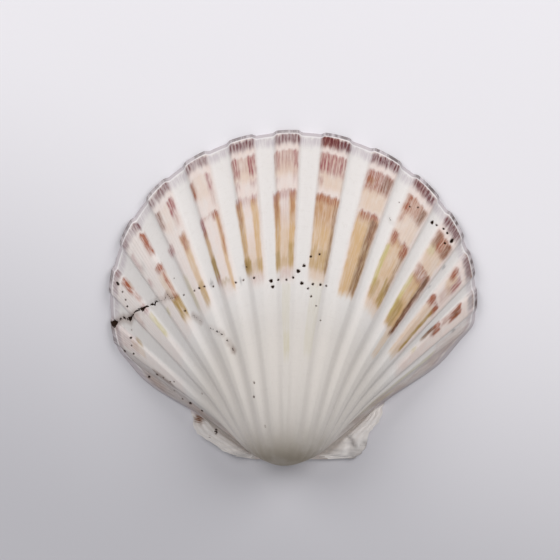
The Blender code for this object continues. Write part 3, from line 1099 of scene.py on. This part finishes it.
    def faces_to_refine(self, angles: Array, rows: list[tuple[Zone, float]]) -> Array:
        """Picks the grid's faces near damage and on the ears' tops, save the two columns at the hinge strip.

        Args:
            angles: The columns.
            rows: The rows.

        Returns:
            True for each face to refine, by column and row.
        """
        middles = (angles[1:] + angles[:-1]) / 2.0
        outside = np.array([zone is Zone.OUTSIDE for zone, _ in rows])
        steps = np.array([value for _, value in rows])
        stage = np.where(outside, steps, 1.0)
        stage_middles = (stage[1:] + stage[:-1]) / 2.0
        angle, at = np.meshgrid(middles, stage_middles, indexing="ij")
        hole, crack = self.damage.distances(angle, at, self.reach, self.fan)
        close = (np.minimum(hole, crack) < self.refine_within) & outside[None, 1:]
        top = np.array([zone is Zone.RIM_TOP for zone, _ in rows])[1:]
        on_ear = self.ears.share_of(middles) > 0.0
        wanted = close | (on_ear[:, None] & top[None, :])
        wanted[0, :] = wanted[-1, :] = False
        return wanted

    def hinge_strip(self, rows: list[tuple[Zone, float]]) -> tuple[Array, list[list[int]]]:
        """The strip that closes the skin along the hinge: its back and ledge, then the plate under the beak.

        The back and the ledge are the rim's last section carried along the hinge line. The plate is a grid
        from the ledge's foot to the hollow, with a pit under the beak and fine ridges beside it.

        Args:
            rows: The rows of the skin, whose ends the strip meets.

        Returns:
            Corners in millimetres, and each face's corners.
        """
        steps = {kind: [value for zone, value in rows if zone is kind] for kind in Zone}
        stages, hollow = np.array(steps[Zone.OUTSIDE]), np.array(steps[Zone.HOLLOW])
        feet = np.array([*steps[Zone.RIM_FOOT], 1.0])[None, :]
        signed = np.concatenate([-stages[::-1], [0.0], stages])
        end = {side: np.array([90.0 * side]) for side in (-1, 1)}
        profile = [self.outer_point(end[1], np.ones(1))[0]]
        profile += [self.rim_top(end[1], np.array([value]))[0] for value in steps[Zone.RIM_TOP]]
        profile += [self.rim_edge(end[1], np.array([value]))[0] for value in steps[Zone.RIM_EDGE]]
        profile = np.array(profile)
        half = np.where(signed < 0.0, self.hinge_x[-1], self.hinge_x[1])
        back = stacked((signed * half)[:, None], profile[None, :, 1], profile[None, :, 2])
        signed_in = np.concatenate([-hollow, [0.0], hollow[::-1]])
        foot_x = np.where(signed_in < 0.0, self.hinge_x[-1], self.hinge_x[1])
        edge_left, edge_right = (self.inner_point(end[side], np.ones(1))[0] for side in (-1, 1))
        edge_x = np.where(signed_in < 0.0, -edge_left[0], edge_right[0])
        x = signed_in[:, None] * (foot_x[:, None] + (edge_x - foot_x)[:, None] * feet)
        y = self.ears.ledge_y + (self.inner_hinge_y - self.ears.ledge_y) * feet
        inside = np.sin(np.pi * feet) * (1.0 - blend_in(np.abs(signed_in), 0.8, 1.0))[:, None]
        pit = self.pit_height * (1.0 - blend_in(np.abs(x), 1.2 + 1.6 * feet, 2.2 + 1.6 * feet))
        ridges = self.ridge_height * (1.0 + np.sin(9.0 * feet + 0.25 * np.abs(x)))
        plate = stacked(x, y, inside * np.maximum(pit, ridges))
        columns_out, rows_out = back.shape[:2]
        columns_in, rows_in = plate.shape[:2]
        base = columns_out * rows_out
        faces = grid_faces(columns_out, rows_out, 0) + grid_faces(columns_in, rows_in, base)
        nearest = [int(np.argmin(np.abs(signed - value))) for value in signed_in]
        for number, (low, high) in enumerate(zip(nearest, nearest[1:])):
            line = [column * rows_out + rows_out - 1 for column in range(low, high + 1)]
            faces.append([base + (number + 1) * rows_in, base + number * rows_in] + line)
        return np.concatenate([back.reshape(-1, 3), plate.reshape(-1, 3)]), faces

    def build(self) -> bpy.types.Object:
        """Makes the mesh with its attributes.

        Returns:
            The shell as one closed object.
        """
        rows, angles = self.rows(), self.columns()
        angle, row, faces = self.refined_grid(angles, rows)
        points, growth, hollow = self.points_at(angle, row, rows)
        count = len(points)
        strip, strip_faces = self.hinge_strip(rows)
        faces += [[count + corner for corner in face] for face in strip_faces]
        beaks = np.array([(0.0, 0.0, self.hinge_lift), (0.0, self.inner_hinge_y, 0.0)])
        faces += self.beak_faces(angle, row, len(rows) - 1, count + len(strip))
        points = np.concatenate([points, strip, beaks])
        extra = len(strip) + len(beaks)
        angle = np.concatenate([angle, np.full(extra, 90.0)])
        growth = np.concatenate([growth, np.full(extra, 0.5)])
        below_ledge = strip[:, 2] < self.ears.ledge_height - 0.01
        hollow = np.concatenate([hollow, below_ledge.astype(float), [0.0, 1.0]])
        placed = np.clip((points + np.array(HINGE_PLACE)) * MM, np.array(CAD_LOW), np.array(CAD_HIGH))
        mesh = bpy.data.meshes.new("shell_valve")
        mesh.from_pydata(placed.tolist(), [], faces)
        self.add_attributes(mesh, angle, growth, hollow, points)
        closed = bmesh.new()
        closed.from_mesh(mesh)
        bmesh.ops.remove_doubles(closed, verts=closed.verts, dist=self.weld * MM)
        bmesh.ops.recalc_face_normals(closed, faces=closed.faces)
        open_edges = sum(len(edge.link_faces) != 2 for edge in closed.edges)
        triangles = sum(len(face.verts) - 2 for face in closed.faces)
        closed.to_mesh(mesh)
        closed.free()
        log.info("shell_valve: %d triangles, %d edges not shared by two faces", triangles, open_edges)
        mesh.shade_smooth()
        mesh.set_sharp_from_angle(angle=math.radians(self.sharp_from))
        shell = bpy.data.objects.new("shell_valve", mesh)
        bpy.context.scene.collection.objects.link(shell)
        return shell

    def beak_faces(self, angle: Array, row: Array, last: int, first_beak: int) -> list[list[int]]:
        """Triangles from the first row to the outer beak, and from the last row to the hollow's beak.

        Args:
            angle: Angle of each corner of the skin.
            row: Its row.
            last: Number of the last row.
            first_beak: Number of the corner at the outer beak; the next one is the hollow's.

        Returns:
            Corners of each triangle.
        """
        made = []
        for level, beak in ((0, first_beak), (last, first_beak + 1)):
            on_row = np.flatnonzero(np.abs(row - level) < 1e-6)
            ordered = on_row[np.argsort(angle[on_row])].tolist()
            made += [[a, b, beak] for a, b in zip(ordered, ordered[1:])]
        return made

    def add_attributes(self, mesh: bpy.types.Mesh, angle: Array, growth: Array, hollow: Array,
                       points: Array) -> None:
        """Writes what the finish reads: places, masks, distances to damage, and the strength of each dye.

        Args:
            mesh: Where to write.
            angle: Degrees of each corner.
            growth: Its growth stage.
            hollow: 1 in the hollow.
            points: Places in millimetres.
        """
        place = self.fan.place_of(angle)
        hole, crack = self.damage.distances(angle, growth, self.reach, self.fan)
        _, on_rib = self.fan.height_at(angle, growth)
        ear = blend_in(self.ears.share_of(angle), 0.0, 0.02) * (growth >= 1.0)
        upper = (ear > 0.0) & (hollow < 0.5)
        hole = np.where(upper, np.minimum(hole, self.ears.to_pit(points)), hole)
        stain_x, stain_y, stain_size = self.ears.stain
        stain = np.hypot(points[:, 0] - stain_x, points[:, 1] - stain_y) / stain_size
        values = {"across": place, "growth": growth, "hollow": hollow, "hole": hole, "crack": crack,
                  "rib": on_rib, "ear": ear}
        for dye, strength in self.colouring.strengths(place, growth).items():
            values[dye.value] = strength * (1.0 - ear)
        values[Dye.BROWN.value] += 1.1 * upper * (1.0 - blend_in(stain, 0.2, 1.0))
        values[Dye.GREY.value] += 0.30 * upper * self.ears.broken(points)
        for name, value in values.items():
            layer = mesh.attributes.new(name, "FLOAT", "POINT")
            layer.data.foreach_set("value", np.ascontiguousarray(value, dtype=np.float32))


def grid_faces(columns: int, rows: int, first: int) -> list[list[int]]:
    """Corners of the faces of a grid whose corners are numbered column by column.

    Args:
        columns: Corners across.
        rows: Corners along.
        first: Number of its first corner.

    Returns:
        Four corners for each face.
    """
    index = (np.arange(columns - 1)[:, None] * rows + np.arange(rows - 1)[None, :]).ravel() + first
    return np.stack([index, index + 1, index + rows + 1, index + rows], axis=1).tolist()


def linear(red: int, green: int, blue: int) -> Colour:
    """A screen colour from 0 to 255 as linear light."""
    parts = [value / 255.0 for value in (red, green, blue)]
    light = [part / 12.92 if part <= 0.04045 else ((part + 0.055) / 1.055) ** 2.4 for part in parts]
    return (light[0], light[1], light[2], 1.0)


class NodeTree:
    """Short ways to add and join the nodes of one material."""

    def __init__(self, material: bpy.types.Material) -> None:
        """Starts from the material's own shader."""
        self.nodes = material.node_tree.nodes
        self.links = material.node_tree.links
        self.shader = self.nodes["Principled BSDF"]

    def put(self, socket: Socket, value: Value) -> None:
        """Joins a socket to an output, or sets its number."""
        if isinstance(value, bpy.types.NodeSocket):
            self.links.new(value, socket)
        else:
            socket.default_value = value

    def attribute(self, name: str) -> Socket:
        """One of the mesh's own numbers."""
        node = self.nodes.new("ShaderNodeAttribute")
        node.attribute_name = name
        return node.outputs["Fac"]

    def place(self) -> Socket:
        """Object coordinates."""
        return self.nodes.new("ShaderNodeTexCoord").outputs["Object"]

    def math(self, operation: str, first: Value, second: Value = 0.0, third: Value = 0.0) -> Socket:
        """One step of arithmetic."""
        node = self.nodes.new("ShaderNodeMath")
        node.operation = operation
        for socket, value in zip(node.inputs, (first, second, third)):
            self.put(socket, value)
        return node.outputs[0]

    def times(self, product: Value, *others: Value) -> Socket:
        """Numbers multiplied together, one after the other."""
        for other in others:
            product = self.math("MULTIPLY", product, other)
        return product

    def less(self, value: Value) -> Socket:
        """What a number lacks to 1."""
        return self.math("SUBTRACT", 1.0, value)

    def step(self, value: Value, start: float, end: float, low: float = 0.0, high: float = 1.0) -> Socket:
        """A smooth step from low at start to high at end."""
        node = self.nodes.new("ShaderNodeMapRange")
        node.interpolation_type = "SMOOTHSTEP"
        self.put(node.inputs["Value"], value)
        for name, number in (("From Min", start), ("From Max", end), ("To Min", low), ("To Max", high)):
            node.inputs[name].default_value = number
        return node.outputs["Result"]

    def vector(self, x: Value, y: Value) -> Socket:
        """Two numbers as one vector."""
        node = self.nodes.new("ShaderNodeCombineXYZ")
        for socket, value in zip(node.inputs, (x, y)):
            self.put(socket, value)
        return node.outputs[0]

    def noise(self, vector: Socket, scale: float, detail: float, roughness: float) -> Socket:
        """Smooth noise, about 0.5 on average."""
        node = self.nodes.new("ShaderNodeTexNoise")
        inputs = {"Vector": vector, "Scale": scale, "Detail": detail, "Roughness": roughness}
        for name, value in inputs.items():
            self.put(node.inputs[name], value)
        return node.outputs["Fac"]

    def mix(self, amount: Value, below: Value, above: Value) -> Socket:
        """One colour laid over another."""
        node = self.nodes.new("ShaderNodeMix")
        node.data_type = "RGBA"
        for number, value in ((0, amount), (6, below), (7, above)):
            self.put(node.inputs[number], value)
        return node.outputs[2]

    def bump(self, height: Socket, distance: float, strength: float, below: Socket | None = None) -> Socket:
        """Fine relief that only shades; distance is its height in metres."""
        node = self.nodes.new("ShaderNodeBump")
        for name, value in (("Height", height), ("Distance", distance), ("Strength", strength)):
            self.put(node.inputs[name], value)
        if below is not None:
            self.put(node.inputs["Normal"], below)
        return node.outputs[0]


class ShellTree(NodeTree):
    """The nodes of the shell's material, with what its layers read: the mesh's numbers, and noises."""

    def __init__(self, material: bpy.types.Material) -> None:
        """Adds the nodes for the numbers and the noises.

        Args:
            material: The shell's material.
        """
        super().__init__(material)
        self.across, self.growth, self.hollow = map(self.attribute, ("across", "growth", "hollow"))
        self.rib, self.ear = self.attribute("rib"), self.attribute("ear")
        self.hole, self.crack = self.attribute("hole"), self.attribute("crack")
        self.outside = self.less(self.hollow)
        past_last, past_first = self.step(self.across, 12.3, 12.7), self.step(self.across, -0.3, -0.7)
        self.past_ribs = self.math("ADD", past_last, past_first)
        self.streaks = self.over_shell(34.0, 16.0)
        self.coarse = self.over_shell(7.0, 22.0)
        self.speckle = self.over_shell(46.0, 45.0, 3.0)
        self.lines = self.over_shell(1.5, 230.0, 3.0, 0.6)
        self.flecks = self.over_shell(9.0, 60.0, 4.0, 0.7)
        self.mottle = self.over_shell(5.0, 1.0, 4.0, 0.7)
        self.riblet = self.math("COSINE", self.times(self.across, 2.0 * math.pi * FineRelief.riblets_on_rib))
        place = self.place()
        self.grain = self.noise(place, 1500.0, 2.0, 0.6)
        self.blotch = self.noise(place, 90.0, 3.0, 0.5)
        self.ragged = self.math("MULTIPLY_ADD", self.noise(place, 1500.0, 3.0, 0.7), 1.5, -0.75)

    def over_shell(self, to_rib: float, to_growth: float, detail: float = 2.0,
                   roughness: float = 0.5) -> Socket:
        """Noise that follows the shell, with so many cells to a rib and so many to the whole growth."""
        at = self.vector(self.times(self.across, to_rib), self.times(self.growth, to_growth))
        return self.noise(at, 1.0, detail, roughness)


@dataclass(frozen=True)
class ShellFinish:
    """Worn calcite: cream white, dyed along the ribs, chalky outside and glossy in the hollow."""

    white: Colour = linear(232, 214, 206)
    groove_white: Colour = linear(231, 226, 223)
    young_white: Colour = linear(222, 214, 206)
    lip: Colour = linear(196, 186, 190)
    lip_dark: Colour = linear(66, 42, 36)
    ridge: Colour = linear(236, 231, 232)
    flank: Colour = linear(202, 182, 172)
    fleck: Colour = linear(206, 196, 188)
    # Inside the holes and the crack: partly brown-black stain, partly painted shade of their depth.
    hole: Colour = linear(40, 25, 17)
    # The beak: partly its own worn olive-brown, partly painted shade on its low end.
    beak: Colour = linear(150, 134, 104)
    ear: Colour = linear(248, 242, 238)
    # Painted shade: the ears' colour next to the disc, where the disc rises over them.
    ear_root_painted_shade: Colour = linear(188, 178, 170)
    hollow: Colour = linear(240, 236, 230)
    hollow_edge: Colour = linear(168, 128, 118)
    weakest_streak: dict[Dye, float] = field(default_factory=lambda: {
        Dye.MAROON: 0.75, Dye.TAN: 0.80, Dye.OLIVE: 0.65, Dye.LIME: 0.65, Dye.BROWN: 0.65, Dye.RUST: 0.55,
        Dye.LILAC: 0.45, Dye.ROSE: 0.45, Dye.GREY: 0.45,
    })
    dyes: dict[Dye, Colour] = field(default_factory=lambda: {
        Dye.TAN: linear(208, 170, 122), Dye.LILAC: linear(190, 178, 184), Dye.LIME: linear(194, 182, 116),
        Dye.OLIVE: linear(168, 136, 74), Dye.RUST: linear(154, 82, 50), Dye.ROSE: linear(154, 84, 86),
        Dye.GREY: linear(116, 108, 106), Dye.BROWN: linear(112, 66, 32), Dye.MAROON: linear(98, 26, 30),
    })
    ior: float = 1.5

    def make(self) -> bpy.types.Material:
        """Builds the material.

        Returns:
            Base colour from layered dyes, roughness and bump, all from the mesh's attributes and noise.
        """
        material = bpy.data.materials.new("worn_calcite")
        material.use_nodes = True
        tree = ShellTree(material)
        inputs = tree.shader.inputs
        colour = self.dyed(tree, self.undyed(tree))
        colour = self.stained(tree, self.worn(tree, self.edged(tree, colour)))
        # The holes and the crack are painted near black, partly stain and partly painted shade of the depth the
        # mesh only dents; their sheen is cut too.
        opening_shade = self.shaded_openings(tree)
        tree.put(inputs["Base Color"], tree.mix(opening_shade, colour, self.hole))
        tree.put(inputs["Specular IOR Level"], tree.math("MULTIPLY_ADD", opening_shade, -0.45, 0.5))
        rough = tree.math("MULTIPLY_ADD", tree.grain, 0.18, 0.42)
        tree.put(inputs["Roughness"], tree.math("SUBTRACT", rough, tree.times(tree.hollow, 0.22)))
        tree.put(inputs["IOR"], self.ior)
        normal = tree.bump(tree.times(tree.lines, tree.outside), 0.00005, 0.45)
        normal = tree.bump(tree.times(tree.flecks, tree.outside), 0.00010, 0.45, normal)
        tree.put(inputs["Normal"], tree.bump(tree.grain, 0.00002, 0.4, normal))
        return material

    def undyed(self, tree: ShellTree) -> Socket:
        """The shell before its dyes: ribs, young shell, flanks, flecks, ears and growth lines, with painted
        shade on the ears near the disc and over the left ear.

        Args:
            tree: Where the nodes go.

        Returns:
            Its colour.
        """
        across, growth = tree.across, tree.growth
        on_ribs = tree.times(tree.rib, tree.step(growth, 0.555, 0.615),
                             tree.step(tree.coarse, 0.30, 0.65, 0.65, 1.0),
                             tree.step(across, 1.0, 5.0, 0.45, 1.0))
        on_flank = tree.times(tree.past_ribs, tree.step(tree.blotch, 0.35, 0.65, 0.20, 0.85),
                              tree.step(growth, 0.1, 0.4))
        # Painted shade: a light grey laid over the whole left ear.
        left_ear_painted_shade = tree.times(tree.ear, tree.step(across, 2.0, -2.0, 0.0, 0.22))
        grey = self.dyes[Dye.GREY]
        colour = self.groove_white
        for amount, above in (
            (on_ribs, self.white),
            (tree.step(growth, 0.62, 0.40, 0.0, 0.8), self.young_white),
            (on_flank, self.flank),
            (tree.step(tree.flecks, 0.50, 0.75, 0.0, 0.22), self.fleck),
            (tree.ear, tree.mix(tree.step(growth, 1.0, 1.008), self.ear_root_painted_shade, self.ear)),
            (left_ear_painted_shade, grey),
            (tree.step(tree.lines, 0.52, 0.72, 0.0, 0.035), grey),
        ):
            colour = tree.mix(amount, colour, above)
        return colour

    def dyed(self, tree: ShellTree, colour: Socket) -> Socket:
        """Lays the dyes over the shell, in their order, broken up by streaks and speckle.

        Args:
            tree: Where the nodes go.
            colour: The shell before them.

        Returns:
            The dyed colour.
        """
        for dye, own in self.dyes.items():
            streaky = tree.step(tree.streaks, 0.28, 0.62, self.weakest_streak[dye], 1.15)
            amount = tree.times(tree.attribute(dye.value), streaky)
            if dye in (Dye.MAROON, Dye.ROSE):
                amount = tree.times(amount, tree.math("MULTIPLY_ADD", tree.riblet, -0.15, 0.90))
            else:
                strong = 0.2 if dye in (Dye.RUST, Dye.BROWN) else 0.0
                amount = tree.times(amount, tree.step(tree.coarse, 0.25, 0.60, 0.75 + strong, 1.05 + strong))
            if dye in (Dye.RUST, Dye.ROSE, Dye.BROWN, Dye.MAROON):
                amount = tree.times(amount, tree.step(tree.speckle, 0.32, 0.62, 0.68, 1.10))
            colour = tree.mix(tree.math("MINIMUM", amount, 1.0), colour, own)
        return colour

    def edged(self, tree: ShellTree, colour: Socket) -> Socket:
        """Adds the pale ridge where the outside ends, and the lip, dark at the ends of the ribs.

        Args:
            tree: Where the nodes go.
            colour: The shell without them.

        Returns:
            The colour with both.
        """
        growth, mottle = tree.growth, tree.mottle
        end_patch = tree.times(tree.step(mottle, 0.42, 0.56), tree.rib,
                               tree.step(tree.across, 6.0, 9.0, 0.65, 1.0))
        outer_line = tree.times(tree.step(growth, 1.011, 1.013), tree.step(mottle, 0.40, 0.52),
                                tree.math("MULTIPLY_ADD", tree.rib, 0.6, 0.2))
        lip = tree.mix(tree.times(end_patch, 0.95), self.lip, self.lip_dark)
        lip = tree.mix(outer_line, lip, self.lip_dark)
        off_ear = tree.less(tree.ear)
        on_ridge = tree.times(tree.step(growth, 0.9990, 1.0, 0.0, 0.7), off_ear, tree.less(tree.past_ribs))
        on_lip = tree.times(tree.step(growth, 1.0015, 1.004, 0.0, 0.9), off_ear)
        return tree.mix(on_lip, tree.mix(on_ridge, colour, self.ridge), lip)

    def worn(self, tree: ShellTree, colour: Socket) -> Socket:
        """Adds the worn beak's olive-brown, deepened there into painted shade, and faint pale blotches, and
        puts the hollow's own colour inside.

        Args:
            tree: Where the nodes go.
            colour: The outside without them.

        Returns:
            The colour of both sides.
        """
        blotchy = tree.step(tree.blotch, 0.30, 0.60, 0.50, 0.90)
        beak_tint_and_shade = tree.times(tree.step(tree.growth, 0.28, 0.13), blotchy)
        colour = tree.mix(beak_tint_and_shade, colour, self.beak)
        colour = tree.mix(tree.times(tree.step(tree.blotch, 0.45, 0.75), 0.12), colour, self.young_white)
        at_rib_ends = tree.times(tree.step(tree.growth, 0.86, 0.99), tree.step(tree.rib, 0.2, 0.8, 0.25, 0.8))
        return tree.mix(tree.hollow, colour, tree.mix(at_rib_ends, self.hollow, self.hollow_edge))

    def stained(self, tree: ShellTree, colour: Socket) -> Socket:
        """Adds brown stains beside the crack and around the holes.

        Args:
            tree: Where the nodes go.
            colour: The shell without them.

        Returns:
            The stained colour.
        """
        by_crack = tree.times(tree.step(tree.crack, 1.5, 0.1), tree.step(tree.blotch, 0.35, 0.60, 0.1, 0.45))
        halo = tree.step(tree.hole, 0.30, 0.0, 0.0, 0.35)
        stain = tree.times(tree.math("MAXIMUM", by_crack, halo), tree.outside)
        return tree.mix(stain, colour, self.dyes[Dye.BROWN])

    @staticmethod
    def shaded_openings(tree: ShellTree) -> Socket:
        """Finds the inside of the holes and the crack, with ragged edges: where their painted shade goes,
        together with their brown-black stain.

        Args:
            tree: Where the nodes go.

        Returns:
            1 inside them and 0 elsewhere.
        """
        hole = tree.step(tree.math("ADD", tree.hole, tree.times(tree.ragged, 0.5)), 0.06, -0.06)
        crack = tree.step(tree.math("ADD", tree.crack, tree.ragged), 0.05, -0.07)
        return tree.times(tree.math("MAXIMUM", hole, crack), tree.outside)


@dataclass(frozen=True)
class Table:
    """The pale surface that the shell lies on, with painted light falloff: lighter towards the far side, darker
    towards the near side.
    """

    half_width: float = 1.2
    height: float = -0.00005
    # Painted light falloff: the far side of the floor painted lit, the near side painted in shade.
    painted_light_colour: Colour = linear(246, 243, 247)
    painted_shade_colour: Colour = linear(203, 201, 206)
    fade: float = 0.11

    def build(self) -> bpy.types.Object:
        """Makes the floor as one square at height 0, just under the shell.

        Returns:
            The floor.
        """
        mesh = bpy.data.meshes.new("table_top")
        signs = ((-1, -1), (1, -1), (1, 1), (-1, 1))
        corners = [(x * self.half_width, y * self.half_width, self.height) for x, y in signs]
        mesh.from_pydata(corners, [], [(0, 1, 2, 3)])
        table = bpy.data.objects.new("table_top", mesh)
        bpy.context.scene.collection.objects.link(table)
        material = bpy.data.materials.new("pale_paper")
        material.use_nodes = True
        tree = NodeTree(material)
        tree.shader.inputs["Roughness"].default_value = 0.75
        separate = tree.nodes.new("ShaderNodeSeparateXYZ")
        tree.put(separate.inputs[0], tree.place())
        # Painted light falloff across the floor, from the near side to the far side.
        ahead = tree.math("MULTIPLY_ADD", separate.outputs["X"], 0.35, separate.outputs["Y"])
        painted_falloff = tree.step(ahead, -self.fade, 0.5 * self.fade)
        tree.put(tree.shader.inputs["Base Color"], tree.mix(painted_falloff, self.painted_shade_colour, self.painted_light_colour))
        mesh.materials.append(material)
        return table


@dataclass(frozen=True)
class Studio:
    """Soft light from the far edge, and the camera straight above."""

    camera_place: tuple[float, float, float] = (-4.315, 5.418, 500.0)
    view_width: float = 184.8
    lamps: tuple[tuple[str, tuple[float, float, float], float, float], ...] = (
        ("far_left", (-500.0, 400.0, 500.0), 0.5, 2.85),
        ("far_right", (500.0, 400.0, 500.0), 0.5, 3.15),
        ("overhead", (0.0, 0.0, 900.0), 0.8, 1.20),
        ("near", (0.0, -600.0, 450.0), 0.6, 0.25),
    )
    sky: tuple[float, float, float] = (0.93, 0.95, 1.0)
    sky_strength: float = 0.18

    def build(self) -> None:
        """Makes the camera, the lamps and the faint light around."""
        scene = bpy.context.scene
        camera = bpy.data.cameras.new("camera")
        camera.sensor_width = 36.0
        camera.angle = 2.0 * math.atan(self.view_width / 2.0 / self.camera_place[2])
        camera.clip_start = 0.01
        view = bpy.data.objects.new("camera", camera)
        view.location = Vector(self.camera_place) * MM
        scene.collection.objects.link(view)
        scene.camera = view
        for name, place, size, power in self.lamps:
            lamp = bpy.data.lights.new(name, "AREA")
            lamp.shape = "DISK"
            lamp.size = size
            lamp.energy = power
            softbox = bpy.data.objects.new(name, lamp)
            softbox.location = Vector(place) * MM
            softbox.rotation_mode = "QUATERNION"
            softbox.rotation_quaternion = (-softbox.location).to_track_quat("-Z", "Y")
            scene.collection.objects.link(softbox)
        world = bpy.data.worlds.new("studio")
        world.use_nodes = True
        background = world.node_tree.nodes["Background"]
        background.inputs["Color"].default_value = (*self.sky, 1.0)
        background.inputs["Strength"].default_value = self.sky_strength
        scene.world = world
        scene.view_settings.view_transform = "Standard"


def main() -> None:
    """Builds the shell and what stands around it."""
    logging.basicConfig(level=logging.INFO, format="%(name)s: %(message)s")
    shell = Valve().build()
    shell.data.materials.append(ShellFinish().make())
    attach(shell, "root")
    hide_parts("valve")
    Table().build()
    log.info("table_top built")
    Studio().build()
    log.info("camera and light built")


if __name__ == "__main__":
    main()
